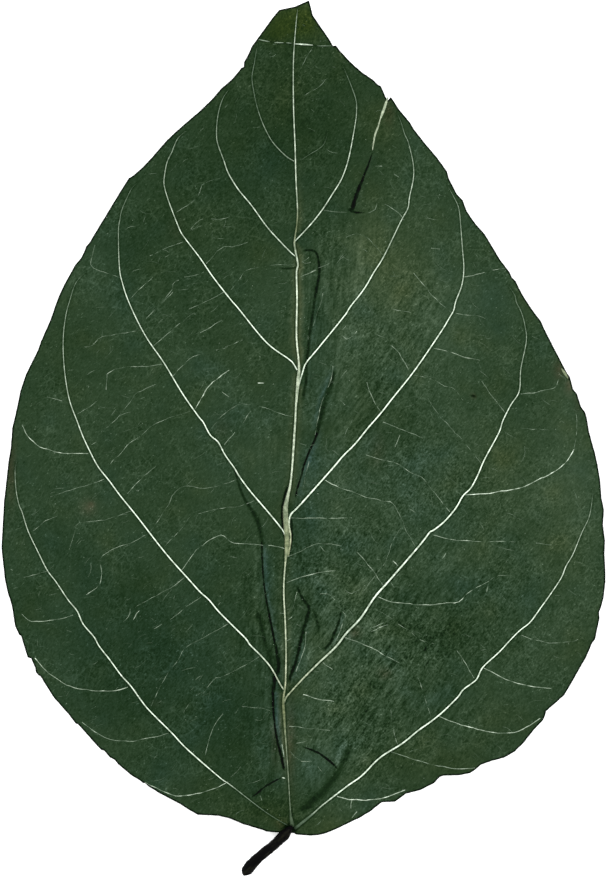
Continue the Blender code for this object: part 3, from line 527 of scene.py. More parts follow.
# Veins that run through the skin
RIB_SIDES = 12
RIB_RING_STEP = 0.55 * MM
RIB_CREST = 0.26  # height over the skin for each metre of width
RIB_FOOT = 1.15  # half width below the skin, in widths above it
LEAST_FOOT = 0.15 * MM  # least half width below the skin
SINK = 0.05 * MM  # how deep in the skin a tube is widest
MIDRIB_DROP = (0.60 * MM, 0.25 * MM)  # below the skin, at the base and at the tip
LATERAL_DROP = (0.40 * MM, 0.15 * MM)
FADE_OUT = 2.5 * MM  # the stretch over which a rib's end sinks into the skin
DROP_LEFT = 0.3  # share of a rib's drop that is left at its end
WIDTH_LEFT = 0.4  # share of its width that is left there
NET_SIDES = 8
NET_RING_STEP = 0.70 * MM
NET_CLASSES = [  # lines, width, crest over the skin, screen level
    (PALE_NET, 0.16 * MM, 0.042 * MM, 150),
    (CLEAR_NET, 0.14 * MM, 0.040 * MM, 120),
    (FIRM_NET, 0.12 * MM, 0.032 * MM, 99),
    (SOFT_NET, 0.10 * MM, 0.026 * MM, 89),
    (FAINT_NET, 0.085 * MM, 0.018 * MM, 81),
]
NET_DROP = 0.09 * MM  # of the net's veins below the skin
NET_BREAK = 0.04 * MM  # how unevenly a vein of the net stands out of the skin
NET_TAPER = 0.5  # share of its crest that a vein loses towards its end

# How the net's veins waver in width and brightness, and wander sideways
WAVER_SIZE = 0.9 * MM
WAVER_WIDTH = 0.25
WAVER_LEVEL = 0.7
WANDER = 0.16 * MM
WANDER_SIZE = 1.8 * MM
WANDER_SEED = 0.004
WANDER_FRACTAL = (0.8, 2.0, 3)

# How much brighter than they show veins are, as the narrowest ones share their pixels
VEIN_BOOST = 0.99
NARROW_BOOST = 0.75  # added for the narrowest
NARROW = 0.22 * MM

# Hair veins and specks: lengths, radii and levels are least, most and, if three, commonest
VEINLET_COUNT = 1500
VEINLET_SIDES = 4
VEINLET_RINGS = 4
VEINLET_SLANT = 0.5  # how many radians a veinlet rises towards the midrib
VEINLET_SPREAD = 0.45  # how many radians that varies by
VEINLET_BEND = 0.5  # the most that a veinlet bends, in radians
VEINLET_LENGTHS = (0.5, 3.0, 0.9)  # mm
VEINLET_RADII = (0.030, 0.050)  # mm
VEINLET_SHAPE = (0.5, 2.7)  # the stretch of a sine that gives its radius, in radians
VEINLET_LEVELS = (60, 140, 80)
VEINLET_CREST = 0.018 * MM
VEINLET_SINK = 0.01 * MM
VEINLET_CLEARANCE = 0.5 * MM  # from the margin and the ribs
LOOSE_SINK = 0.02 * MM  # how deep in the skin a veinlet, flake or speck is widest below
LOOSE_FOOT = 0.05 * MM  # how deep it goes
FLECK_COUNT = 700
FLECK_LENGTHS = (0.04, 0.10)  # mm; half of its length
FLECK_WIDTH = 1.4  # in half lengths
FLECK_CREST = 0.02 * MM
FLECK_LEVELS = (65, 185, 90)
FLECK_CLEARANCE = 0.15 * MM

# Pale flakes where the blade is creased or torn: pixels, width in mm, screen level and stain
FLAKES = [
    ([(258, 39.5), (270, 42)], 0.20, 150, 0), ([(274, 42.5), (284, 43)], 0.20, 160, 0),
    ([(286, 43), (292, 43.6)], 0.16, 140, 0), ([(295, 44), (304, 44.6), (313, 45.3)], 0.30, 240, 0),
    ([(317, 46), (332, 46)], 0.18, 130, 0), ([(282, 778), (285, 779)], 0.30, 235, 0),
    ([(281, 832), (287, 831)], 0.30, 235, 0),
    ([(561.5, 368.5), (564.5, 373), (568, 378.5)], 0.44, 165, 0.6),
    ([(388, 97), (383.5, 110), (380, 120)], 0.50, 185, 0.3),
    ([(381, 116), (378, 127), (375, 135), (372.5, 150)], 0.34, 180, 0.3),
    ([(446, 553), (444.5, 556), (442, 559)], 0.22, 130, 0),
    ([(488, 586), (486.5, 592)], 0.26, 120, 0),
    ([(103, 554.5), (103.5, 556)], 0.24, 130, 0), ([(79, 522), (79.5, 523)], 0.22, 125, 0),
    ([(139, 436.5), (139.5, 437.5)], 0.22, 130, 0), ([(220, 535.5), (222, 536)], 0.22, 130, 0),
    ([(173.5, 494), (174.5, 494.5)], 0.20, 120, 0), ([(67.5, 553), (67.5, 554)], 0.22, 120, 0),
]
FLAKE_SIDES = 6
FLAKE_STEP = 0.3 * MM
FLAKE_CREST = 0.04 * MM
FLAKE_END = 0.3  # where in a half turn of a sine, which gives its width, a flake starts

# The stalk's rings: middle pixel, radius and height of the middle, in mm
STALK = [
    (292, 826, 0.24, 1.72), (289.5, 829.5, 0.54, 1.60), (284.8, 835, 0.97, 1.24),
    (277.5, 842, 0.87, 1.05), (271, 848, 0.78, 0.96), (262.4, 854.6, 0.88, 0.98),
    (253, 863, 0.92, 1.02), (248.6, 868.4, 0.98, 1.06), (246.8, 871.6, 0.97, 1.06),
    (247.4, 875.2, 0.76, 1.00),
]
STALK_SIDES = 30
STALK_STEP = 0.16 * MM
STALK_WRINKLE = 0.08 * MM
STALK_WRINKLES = [(1.6, 5.0, 1.6), (4.0, 22.0, 1.3)]  # fineness round and along it, strength
STALK_FULL = 0.6 * MM  # the radius from which it is wrinkled in full
STALK_FLOOR = 0.03 * MM  # its least height over the table
STALK_TURN = 0.83  # radians from the X axis to the stalk's direction

# The camera looks straight down, and its frame is as tall as the photograph
PHOTO_SIZE = (609, 879)
CAMERA_PIXEL = (304.5, 439.5)
LENS = 135.0
SENSOR = 36.0
FOCUS_HEIGHT = 1.7 * MM

# The studio: each light's place, size and power
LIGHTS = {
    "key": ((-0.62, 0.50, 0.72), 0.55, 6.0),
    "right": ((0.85, 0.10, 0.60), 0.70, 4.5),
    "front": ((-0.05, -0.90, 0.60), 0.70, 4.0),
    "back": ((0.10, 0.95, 0.55), 0.70, 3.6),
}
SKY = (0.96, 0.98, 1.0, 1.0)
SKY_STRENGTH = 0.72
LIGHT = 1.65  # how bright this light makes a pure white surface
GLOSS = 0.006  # what a surface's gloss adds to that, for each colour
FLOOR_HALF = 3.0
FLOOR_DROP = 0.02 * MM
FLOOR_GLOW = 0.5
FLOOR_TINTS = [(0.93, 0.93, 0.93, 1), (0.96, 0.96, 0.96, 1)]

# Colours as screen values.  The leaf's tints are red, green and blue over or under a level,
# for levels up to the first of PALE_LEVELS and from the last.
LEAF_TINT = (-6.5, 14.5, -9.5)
BRIGHT_TINT = (-4.5, 13.5, -13)
TINT_LEVELS = (-6, 24)  # over which the tint grows in
PALE_LEVELS = (120, 200)
LEAF_LEVELS = (0, 20, 40, 60, 80, 105, 140, 180, 230, 300)
BRIGHTEST = 300
UNDER_SKIN = [(98, 108, 78), (124, 130, 98)]
UNDER_VEIN = (150, 150, 112)
STALK_COLOURS = [(11, 12, 10), (40, 40, 32)]
HUES = {  # what the colour is multiplied by
    # the cooler skin, and the painted bluish sheen beside creases
    "teal_and_sheen": (0.84, 0.97, 1.22, 1),
    "olive": (1.20, 1.04, 0.85, 1),
    "brown": (2.10, 0.74, 0.78, 1),
    "halo": (1.34, 0.99, 0.76, 1),
    # lit: the painted highlight's bluish sheen beside creases
    "lit": (0.90, 1.00, 1.35, 1),
    "moss": (1.02, 0.97, 0.42, 1),
}
STAINED = (1.12, 0.95, 0.68, 1)

# The upper face's brightness: its mean level, and what is added to it
SKIN_LEVEL = 54.5
ZONE_SIZE = 16 * MM
ZONE_SWING = 24
MOTTLES = [(2.4 * MM, 4.0, 26), (0.8 * MM, 3.0, 32), (0.28 * MM, 3.0, 78)]  # size, detail, swing
GRAIN_TURN = 0.95  # radians from the X axis to the way that the finest one is drawn out
GRAIN_STRETCH = 1.7
# Painted light and shade of wrinkles, drawn as streaks
WRINKLE_SIZE = 0.65 * MM
WRINKLE_STRETCH = 6.0
WRINKLE_TURNS = {"upright": 1.50, "slanted": 1.00}
WRINKLE_SHADING_SWING = 85
DEEP_LEVEL = -13
PALE_LEVEL = 16
STROKE_SIZE = 0.40 * MM
STROKE_STRETCH = 5.0
STROKE_TURNS = [(0.55, 0.0), (-0.60, 0.3), (1.00, 0.7)]  # each with a shift of its noise
STROKE_LEVEL = 12
SPECK_SIZE = 0.26 * MM
SPECK_LEVEL = 36
PIT_LEVEL = -16
CELL_SIZE = 1.5 * MM  # of the finest net, which is in the skin's colour and relief
CELL_VEIN = 0.09  # how wide its veins are
CELL_LEVEL = 12
# painted highlight beside the lit side of creases
LIT_LEVEL = 20
HALO_LEVEL = 22

# Painted shade that darkens it, as shares of the level: in the groove beside each rib, in the
# creases and along the rim
GROOVE_SHADE = 0.32
CREASE_SHADE = 0.97
RIM_SHADE = 0.85


def placed(pixel):
    """A photograph pixel as a point in the plane, in metres."""
    across, down = pixel
    return ((across - MIDDLE_PIXEL[0]) * UNIT, (MIDDLE_PIXEL[1] - down) * UNIT)


def lengths_along(points):
    """How far along the straight runs between the points each of them is."""
    return np.concatenate([[0.0], np.cumsum(np.hypot(*np.diff(points, axis=0).T))])


def evenly_spaced(points, step):
    """Points about step apart along straight runs between the given ones, both ends kept."""
    points = np.array(points)
    along = lengths_along(points)
    count = max(2, round(along[-1] / step) + 1)
    wanted = np.linspace(0.0, along[-1], count)
    return np.column_stack([np.interp(wanted, along, points[:, i]) for i in (0, 1)])


def smooth_line(pixels, step):
    """Points about step apart along a smooth curve through the given pixels."""
    points = [np.array(placed(pixel)) for pixel in pixels]
    last = len(points) - 1
    fine = []
    for i in range(last):
        start, end = points[i], points[i + 1]
        pull_start = (end - points[max(i - 1, 0)]) / 2
        pull_end = (points[min(i + 2, last)] - start) / 2
        for t in np.arange(0.0, 1.0, CURVE_STEP):
            fine.append(
                start * (2 * t**3 - 3 * t**2 + 1)
                + pull_start * (t**3 - 2 * t**2 + t)
                + end * (3 * t**2 - 2 * t**3)
                + pull_end * (t**3 - t**2)
            )
    fine.append(points[last])
    return evenly_spaced(fine, step)


def profile(pairs, shares):
    """Values at shares of a length, from a short list of (share, value) pairs."""
    return np.interp(shares, [share for share, _ in pairs], [value for _, value in pairs])


def directions(line):
    """The unit direction of a line at each of its points."""
    along = np.gradient(np.asarray(line), axis=0)
    return along / np.hypot(*along.T)[:, None]


def leftward(along):
    """The directions turned a quarter to the left."""
    return np.column_stack([-along[:, 1], along[:, 0]])


def bump_at(away, middle, reach):
    """A smooth hump, 1 at the middle distance."""
    return np.exp(-(((away - middle) / reach) ** 2))


class LineField:
    """Lines in the plane with values along them, and which of them lies nearest a point."""

    def __init__(self):
        self.points = []
        self.along = []
        self.values = []
        self.tree = None

    def add(self, line, values):
        """A line, and one row of values for each of its points."""
        self.points.extend(map(tuple, line))
        self.along.extend(map(tuple, directions(line)))
        self.values.extend(map(tuple, values))

    def finish(self):
        """Makes the field ready for questions, once all its lines are in."""
        self.tree = KDTree(len(self.points))
        for i, point in enumerate(self.points):
            self.tree.insert((*point, 0.0), i)
        self.tree.balance()
        return self

    def nearest(self, points):
        """For each point: how far the nearest line is, on which side of it, its values."""
        found = [self.tree.find((x, y, 0.0)) for x, y in points]
        index = [item[1] for item in found]
        away = np.array([item[2] for item in found])
        offset = points - np.array(self.points)[index]
        along = np.array(self.along)[index]
        side = np.sign(along[:, 0] * offset[:, 1] - along[:, 1] * offset[:, 0])
        return away, side, np.array(self.values)[index]


def rib_field():
    """The midrib and side ribs: how strong, how stained beside it and how wide each is."""
    field = LineField()
    for rib in RIBS.values():
        line = smooth_line(rib["pixels"], STATION_STEP)
        shares = np.linspace(0.0, 1.0, len(line))
        width = profile(rib["width"], shares)
        strength = np.minimum(1.0, width / STRONG_WIDTH)
        halos = [profile(rib.get(side, [(0, 0)]), shares) for side in ("halo_left", "halo_right")]
        field.add(line, np.column_stack([strength, width / 2 * MM, *halos]))
    return field.finish()


def net_field():
    """The net's veins, which all count the same."""
    field = LineField()
    for pixels in sum((net_lines for net_lines, *_ in NET_CLASSES), []):
        line = smooth_line(pixels, STATION_STEP)
        field.add(line, np.ones((len(line), 1)))
    return field.finish()


def crease_field():
    """The folds: how much painted shade darkens each, how strongly its one side is lifted and given
    a painted highlight, how wide and how soft each is.
    """
    field = LineField()
    for crease in CREASES:
        line = smooth_line(crease["pixels"], STATION_STEP)
        shares = np.linspace(0.0, 1.0, len(line))
        left = np.minimum(shares, 1 - shares) * len(line) * STATION_STEP
        fade = np.minimum(1.0, CREASE_END + left / CREASE_FADE)
        reach = profile(crease["reach"], shares) * UNIT
        soft = np.full(len(line), crease.get("soft", 0.0))
        lit = fade * crease.get("lit", 0.0)
        field.add(line, np.column_stack([fade * crease["dark"], lit, reach, soft]))
    return field.finish()


def margin_line():
    """The closed margin, slightly ragged."""
    corners = [placed(pixel) for pixel in MARGIN]
    line = []
    for start, end in zip(corners, corners[1:] + corners[:1]):
        line.extend(evenly_spaced([start, end], MARGIN_STEP)[:-1])
    line = np.array(line)
    along = np.roll(line, -1, axis=0) - np.roll(line, 1, axis=0)
    along /= np.hypot(*along.T)[:, None]
    rough = [noise.noise(Vector((x, y, 0.0)) / RAGGED_SIZE) for x, y in line]
    return line + leftward(along) * (RAGGED * np.abs(rough))[:, None]


def margin_field(loop):
    """The margin, for distances from it only."""
    field = LineField()
    line = evenly_spaced(np.vstack([loop, loop[:1]]), STATION_STEP)
    field.add(line, np.zeros((len(line), 1)))
    return field.finish()


def inside(points, loop):
    """Which of the points lie inside the closed loop."""
    x, y = np.asarray(points).T
    found = np.zeros(len(x), bool)
    for (x1, y1), (x2, y2) in zip(loop, np.roll(loop, -1, axis=0)):
        if y1 != y2:
            spans = (y1 > y) != (y2 > y)
            found ^= spans & (x < x1 + (x2 - x1) * (y - y1) / (y2 - y1))
    return found


def loose_height(points):
    """Height of the lower face if nothing touched the table."""
    x, y = np.asarray(points).T
    height = np.full(len(x), REST_HEIGHT)
    for i, length in enumerate(COCKLE_LENGTHS):
        turn = COCKLE_TURN + COCKLE_TURN_STEP * i
        along = x * math.cos(turn) + y * math.sin(turn)
        height += COCKLE_HEIGHT * np.sin(math.tau * along / length + COCKLE_SHIFT * i)
    outward = np.hypot(x / LEAF_HALF_WIDTH, y / LEAF_HALF_LENGTH)
    wave = MARGIN_EVEN + np.sin(MARGIN_WAVES * x / LEAF_HALF_WIDTH)
    height += MARGIN_LIFT * np.maximum(0.0, outward - MARGIN_START) ** 2 * wave
    past_crease = y - placed((0, TIP_CREASE_PIXEL_ROW))[1]
    return height + TIP_LIFT * np.maximum(0.0, past_crease)


def cockle(points):
    """Height of the CAD blade's lower face, which dips to the table at three places."""
    points = np.asarray(points)
    height = loose_height(points)
    for touch in map(placed, TOUCH_PIXELS):
        dip = loose_height([touch])[0] + TOUCH_PRESS
        away = np.hypot(*(points - np.array(touch)).T)
        height -= dip * np.exp(-(away**2) / (2 * TOUCH_SPREAD**2))
    return np.maximum(0.0, height)


def pucker(points):
    """Small uneven wrinkles, drawn out along the leaf near the midrib."""
    middle = placed((MIDRIB_PIXEL, 0))[0]
    found = []
    for x, y in points:
        near = math.exp(-(((x - middle) / PUCKER_NEAR) ** 2))
        stretch = 1 + PUCKER_STRETCH * near
        place = Vector((x * stretch, y / stretch, 0.0)) / PUCKER_SIZE
        found.append(noise.fractal(place, *PUCKER_FRACTAL) * (1 + PUCKER_GAIN * near))
    return np.clip(np.array(found) * PUCKER, -PUCKER, PUCKER)


def fold_light(away, side, crease):
    """How strongly the skin beside the creases is lifted and given a painted highlight."""
    lit = np.maximum(0.0, side * crease[:, 1])
    return lit * bump_at(away - crease[:, 2], FOLD_AWAY, FOLD_REACH)


class Fields:
    """Everything that shapes and tints the skin, found once."""

    def __init__(self):
        self.loop = margin_line()
        self.margin = margin_field(self.loop)
        self.ribs = rib_field()
        self.net = net_field()
        self.creases = crease_field()


def upper_height(points, fields):
    """Height of the skin's upper face."""
    rib_away, _, rib = fields.ribs.nearest(points)
    net_away, _, _ = fields.net.nearest(points)
    crease_away, side, crease = fields.creases.nearest(points)
    margin_away, _, _ = fields.margin.nearest(points)
    height = cockle(points) + UPPER_HEIGHT
    height += SWELL * rib[:, 0] * bump_at(rib_away, 0.0, SWELL_REACH)
    height -= CHANNEL_DEPTH * rib[:, 0] * bump_at(rib_away, CHANNEL_AWAY, CHANNEL_REACH)
    between = 1 - bump_at(np.minimum(rib_away, net_away), 0.0, QUILT_REACH)
    height += QUILT * (between - 1)
    height += pucker(points) * between
    reach = CREASE_SHARE * crease[:, 2] + CREASE_SHOULDER
    height -= CREASE_DEPTH * crease[:, 0] * bump_at(crease_away, 0.0, reach)
    height += FOLD_LIFT * fold_light(crease_away, side, crease)
    return height - RIM_DROOP * bump_at(margin_away, 0.0, RIM_ROUND)


def under_height(points, fields):
    """Height of the skin's lower face, which bulges down round the ribs."""
    rib_away, _, rib = fields.ribs.nearest(points)
    crease_away, _, crease = fields.creases.nearest(points)
    height = cockle(points) + UNDER_HEIGHT
    height -= RIB_BULGE * rib[:, 0] * bump_at(rib_away, 0.0, SWELL_REACH)
    reach = crease[:, 2] + 2 * CREASE_SHOULDER
    height -= CREASE_BULGE * crease[:, 0] * bump_at(crease_away, 0.0, reach)
    height += UNDER_PUCKER * pucker(points)
    return np.maximum(SKIN_FLOOR, height)


def upper_heights(lines, fields):
    """Heights of the skin's upper face along many lines with the same number of points."""
    return upper_height(lines.reshape(-1, 2), fields).reshape(lines.shape[:2])


class PlaneMesh:
    """Points and lines in the plane, kept from crowding, and their triangles."""

    def __init__(self):
        self.points = []
        self.edges = []
        self.cells = {}

    def cell(self, point):
        """The square that the point is kept in."""
        return (math.floor(point[0] / CELL), math.floor(point[1] / CELL))

    def nearest(self, point, within):
        """The index of the nearest point closer than within, or None."""
        column, row = self.cell(point)
        best = None
        for i in (column - 1, column, column + 1):
            for j in (row - 1, row, row + 1):
                for index in self.cells.get((i, j), ()):
                    away = math.dist(point, self.points[index])
                    if away < within:
                        best, within = index, away
        return best

    def add(self, point):
        """Adds the point and gives its index."""
        self.points.append((float(point[0]), float(point[1])))
        self.cells.setdefault(self.cell(point), []).append(len(self.points) - 1)
        return len(self.points) - 1

    def add_line(self, line):
        """Joins the line's points, using a point that is there already where one is near."""
        before = None
        for point in line:
            index = self.nearest(point, CROWDING)
            if index is None:
                index = self.add(point)
            if before is not None and before != index:
                self.edges.append((before, index))
            before = index

    def add_loose(self, points, spacing):
        """Adds the points that have nothing nearer than spacing."""
        for point in points:
            if self.nearest(point, spacing) is None:
                self.add(point)

    def triangles(self, loop_length):
        """The triangles inside the loop that the first points make, wound to face up."""
        flat = [Vector(point) for point in self.points]
        loop = list(range(loop_length))
        found = delaunay_2d_cdt(flat, self.edges, [loop], 1, 1e-8)
        points = np.array([(point.x, point.y) for point in found[0]])
        faces = np.array([face[:3] for face in found[2]])
        a, b, c = (points[faces[:, i]] for i in range(3))
        turn = (b - a)[:, 0] * (c - a)[:, 1] - (b - a)[:, 1] * (c - a)[:, 0]
        faces[turn < 0] = faces[turn < 0][:, ::-1]
        return points, faces


def beside(line, offsets):
    """Points on both sides of a line at each of the offsets."""
    middle = (line[1:] + line[:-1]) / 2
    along = directions(middle) if len(middle) > 1 else directions(line)[:1]
    across = leftward(along)
    return np.vstack([middle + across * turn * away for away in offsets for turn in (1, -1)])


def fill_points(loop, rng):
    """A loose honeycomb of points over the inside of the margin."""
    found = []
    row_height = FILL_STEP * math.sqrt(3) / 2
    columns = round(FILL_REACH * BLADE_LENGTH / FILL_STEP)
    rows = round(FILL_REACH * BLADE_LENGTH / row_height)
    for row in range(-rows, rows + 1):
        for column in range(-columns, columns + 1):
            aside, onward = (rng.uniform(-FILL_STRAY, FILL_STRAY) * FILL_STEP for _ in range(2))
            x = (column + row % 2 / 2) * FILL_STEP + aside
            found.append((x, row * row_height + onward))
    found = np.array(found)
    return found[inside(found, loop)]


def skin_plan(loop):
    """The blade seen from above: its points and triangles, denser along every line."""
    plan = PlaneMesh()
    for point in loop:
        plan.add(point)
    lines = [(rib["pixels"], RIB_STEP, RIB_BESIDE) for rib in RIBS.values()]
    lines += [(crease["pixels"], CREASE_STEP, CREASE_BESIDE) for crease in CREASES]
    for net_lines, *_ in NET_CLASSES:
        lines += [(pixels, NET_STEP, NET_BESIDE) for pixels in net_lines]
    drawn = [(smooth_line(pixels, step), offsets) for pixels, step, offsets in lines]
    for line, _ in drawn:
        plan.add_line(line[inside(line, loop)])
    drawn.append((np.vstack([loop, loop[:1]]), RIM_BESIDE))
    for points in [beside(line, offsets) for line, offsets in drawn]:
        plan.add_loose(points[inside(points, loop)], CROWDING)
    plan.add_loose(fill_points(loop, random.Random(SEED)), FILL_ROOM * FILL_STEP)
    return plan.triangles(len(loop))


def patches(points, spots):
    """How strongly a list of soft round patches shows at each point."""
    strength = np.zeros(len(points))
    for across, down, half_width, half_height, amount in spots:
        offset = points - np.array(placed((across, down)))
        reach = np.array([half_width, half_height]) * UNIT
        strength += amount * np.exp(-((offset / reach) ** 2).sum(axis=1))
    return np.minimum(1.0, strength)


def skin_marks(points, fields):
    """The values that tint the skin, one array each; distances are in mm."""
    rib_away, rib_side, rib = fields.ribs.nearest(points)
    crease_away, side, crease = fields.creases.nearest(points)
    rib_edge = rib_away - rib[:, 1]
    halo = np.where(rib_side > 0, rib[:, 2], rib[:, 3])
    return {
        "rib": rib[:, 0],
        "beside": rib_edge / MM,
        "halo": halo * bump_at(rib_edge, HALO_AWAY, HALO_REACH),
        "dark": crease[:, 0],
        "crease": np.minimum(CREASE_FAR, crease_away / crease[:, 2]),
        "soft": crease[:, 3],
        "lit": fold_light(crease_away, side, crease),
        "rim": fields.margin.nearest(points)[0] / MM,
        **{mark: patches(points, spots) for mark, spots in PATCHES.items()},
    }


def add_mesh(name, points, faces, material, marks):
    """A smooth-shaded mesh object with one float attribute for each entry of marks."""
    mesh = bpy.data.meshes.new(name)
    mesh.from_pydata([tuple(p) for p in points], [], [tuple(f) for f in faces])
    mesh.materials.append(material)
    for mark, values in marks.items():
        attribute = mesh.attributes.new(mark, "FLOAT", "POINT")
        attribute.data.foreach_set("value", np.asarray(values, np.float32))
    mesh.shade_smooth()
    obj = bpy.data.objects.new(name, mesh)
    bpy.context.scene.collection.objects.link(obj)
    return obj


def leaf_skin(fields):
    """The blade's skin: the same triangles on both faces, joined round the rim."""
    points, top = skin_plan(fields.loop)
    count = len(points)
    upper = np.column_stack([points, upper_height(points, fields)])
    under = np.column_stack([points, under_height(points, fields)])
    faces = [tuple(face) for face in top.tolist()]
    sides = {(a, b) for f in faces for a, b in zip(f, f[1:] + f[:1])}
    faces += [(c + count, b + count, a + count) for a, b, c in faces]
    for a, b in sides:
        if (b, a) not in sides:
            faces.append((a + count, b + count, b))
            faces.append((a + count, b, a))
    marks = {mark: np.tile(v, 2) for mark, v in skin_marks(points, fields).items()}
    marks["under"] = np.repeat([0.0, 1.0], count)
    return add_mesh("leaf_skin", np.vstack([upper, under]), faces, skin_material(), marks)


class Tubes:
    """Closed tubes that run through the skin, gathered into one mesh."""

    def __init__(self, sides):
        self.sides = sides
        self.points = []
        self.faces = []
        self.marks = {}

    def add(self, line, reaches, heights, tone, stain=0.0):
        """One tube.  reaches holds the half widths above and below the skin, and heights the
        crest, the two heights at which a ring is widest, and the foot."""
        start = len(self.points)
        rings = zip(line, leftward(directions(line)), np.column_stack(reaches),
                    np.column_stack(heights))
        for ring in rings:
            for k in range(self.sides):
                self.points.append(self.ring_point(math.tau * k / self.sides, *ring))
        self.close(start, len(line))
        for mark, values in (("tone", tone), ("stain", stain)):
            values = np.full(len(line), values, float)
            self.marks.setdefault(mark, []).extend(np.repeat(values, self.sides))
        under = [float(k > self.sides / 2) for k in range(self.sides)]
        self.marks.setdefault("under", []).extend(under * len(line))

    def ring_point(self, turn, middle, across, reaches, heights):
        """The point of a ring that is a turn round from its left side."""
        upper_reach, lower_reach = reaches
        crest, upper, lower, foot = heights
        if math.sin(turn) >= 0:
            sideways = upper_reach * math.cos(turn)
            height = upper + (crest - upper) * math.sin(turn)
        else:
            sideways = lower_reach * math.cos(turn)
            height = lower + (lower - foot) * math.sin(turn)
        x, y = middle + across * sideways
        return (x, y, height)

    def close(self, start, rings):
        """Joins the rings from a point on, and closes both ends."""
        sides = self.sides
        for ring in range(rings - 1):
            for k in range(sides):
                here = start + ring * sides + k
                beside_it = start + ring * sides + (k + 1) % sides
                self.faces.append((here, beside_it, beside_it + sides, here + sides))
        last = start + (rings - 1) * sides
        self.faces.append(tuple(start + k for k in reversed(range(sides))))
        self.faces.append(tuple(last + k for k in range(sides)))

    def mesh(self, name, material):
        return add_mesh(name, self.points, self.faces, material, self.marks)


def surface_line(line, fields):
    """Heights of the skin's two faces along a line."""
    return upper_height(line, fields), under_height(line, fields)


def own_level(level, width):
    """A vein's own screen level, where the given one is what its pixels show."""
    return level * (VEIN_BOOST + NARROW_BOOST * bump_at(width, 0.0, NARROW))


def leaf_ribs(fields):
    """The midrib and the side ribs: narrow and pale above the skin, broad below it."""
    tubes = Tubes(RIB_SIDES)
    for name, rib in RIBS.items():
        line = smooth_line(rib["pixels"], RIB_RING_STEP)
        shares = np.linspace(0.0, 1.0, len(line))
        width = profile(rib["width"], shares) * MM
        upper, under = surface_line(line, fields)
        left = (1 - shares) * len(line) * RIB_RING_STEP
        fade = np.minimum(1.0, left / FADE_OUT)
        drop = MIDRIB_DROP if name == "midrib" else LATERAL_DROP
        drops = np.interp(shares, (0, 1), drop) * np.maximum(fade, DROP_LEFT)
        foot = np.maximum(0.0, cockle(line) - drops)
        crest = upper + RIB_CREST * width * fade
        reach = width * np.maximum(fade, WIDTH_LEFT)
        lower_reach = np.maximum(reach * RIB_FOOT, LEAST_FOOT)
        tubes.add(line, (reach / 2, lower_reach), (crest, upper - SINK, under + SINK, foot),
                  own_level(profile(rib["tone"], shares), width),
                  profile(rib.get("stain", [(0, 0)]), shares))
    return tubes.mesh("leaf_ribs", vein_material())


def wandering(line):
    """The line with small sideways wanderings; its ends stay where they are."""
    places = [Vector((x, y, WANDER_SEED)) / WANDER_SIZE for x, y in line]
    sway = np.array([noise.fractal(place, *WANDER_FRACTAL) for place in places])
    ends = np.sin(np.linspace(0.0, math.pi, len(line))) ** 0.5
    return line + leftward(directions(line)) * (WANDER * sway * ends)[:, None]


def leaf_net(fields):
    """The net: slim veins that stand unevenly out of both faces of the skin."""
    tubes = Tubes(NET_SIDES)
    for lines, width, rise, level in NET_CLASSES:
        for pixels in lines:
            line = smooth_line(pixels, NET_RING_STEP)
            upper, under = surface_line(line, fields)
            shares = np.linspace(0.0, 1.0, len(line))
            waver = np.array([noise.noise(Vector((x, y, 0.0)) / WAVER_SIZE) for x, y in line])
            line = wandering(line)
            crest = upper + rise + NET_BREAK * waver - NET_TAPER * rise * shares
            foot = np.maximum(0.0, cockle(line) + UNDER_HEIGHT - NET_DROP)
            reach = np.full(len(line), width) * (1 + WAVER_WIDTH * waver)
            tubes.add(line, (reach / 2, reach), (crest, upper - SINK, under + SINK, foot),
                      own_level(level * (1 + WAVER_LEVEL * waver), reach))
    return tubes.mesh("leaf_net", vein_material())


def veinlet_lines(fields):
    """Short lines between the drawn veins, seeded, slanting up to the midrib."""
    rng = random.Random(SEED)
    shares = np.linspace(-0.5, 0.5, VEINLET_RINGS)
    lines = []
    for _ in range(VEINLET_COUNT):
        across = rng.uniform(0, PHOTO_SIZE[0])
        x, y = placed((across, rng.uniform(0, PHOTO_SIZE[1])))
        length = rng.triangular(*VEINLET_LENGTHS) * MM
        turn = rng.gauss(VEINLET_SLANT, VEINLET_SPREAD) * (-1 if across > MIDRIB_PIXEL else 1)
        turns = turn + rng.uniform(-VEINLET_BEND, VEINLET_BEND) * shares
        lines.append(np.column_stack([x + shares * length * np.cos(turns),
                                      y + shares * length * np.sin(turns)]))
    return clear_lines(np.array(lines), fields, VEINLET_CLEARANCE)


def clear_lines(lines, fields, clearance):
    """The lines that lie inside the blade, clear of its margin and of the ribs."""
    points = lines.reshape(-1, 2)
    kept = inside(points, fields.loop)
    kept &= fields.margin.nearest(points)[0] > clearance
    kept &= fields.ribs.nearest(points)[0] > clearance
    return lines[kept.reshape(lines.shape[:2]).all(axis=1)]


def leaf_veinlets(fields):
    """Short hair veins and loose pale fibres on the upper face."""
    rng = random.Random(SEED)
    tubes = Tubes(VEINLET_SIDES)
    lines = veinlet_lines(fields)
    shape = np.sin(np.linspace(*VEINLET_SHAPE, VEINLET_RINGS))
    for line, upper in zip(lines, upper_heights(lines, fields)):
        reach = rng.uniform(*VEINLET_RADII) * MM * shape
        tone = rng.triangular(*VEINLET_LEVELS)
        levels = (upper + VEINLET_CREST, upper - VEINLET_SINK, upper - LOOSE_SINK,
                  upper - LOOSE_FOOT)
        tubes.add(line, (reach, reach), levels, tone)
    return tubes.mesh("leaf_veinlets", vein_material())


def fleck_lines(fields):
    """Very short lines, seeded, that become specks."""
    rng = random.Random(SEED + 1)
    lines = []
    for _ in range(FLECK_COUNT):
        point = np.array(placed((rng.uniform(0, PHOTO_SIZE[0]), rng.uniform(0, PHOTO_SIZE[1]))))
        turn = rng.uniform(0, math.pi)
        step = np.array([math.cos(turn), math.sin(turn)]) * rng.uniform(*FLECK_LENGTHS) * MM
        lines.append([point - step, point, point + step])
    return clear_lines(np.array(lines), fields, FLECK_CLEARANCE)


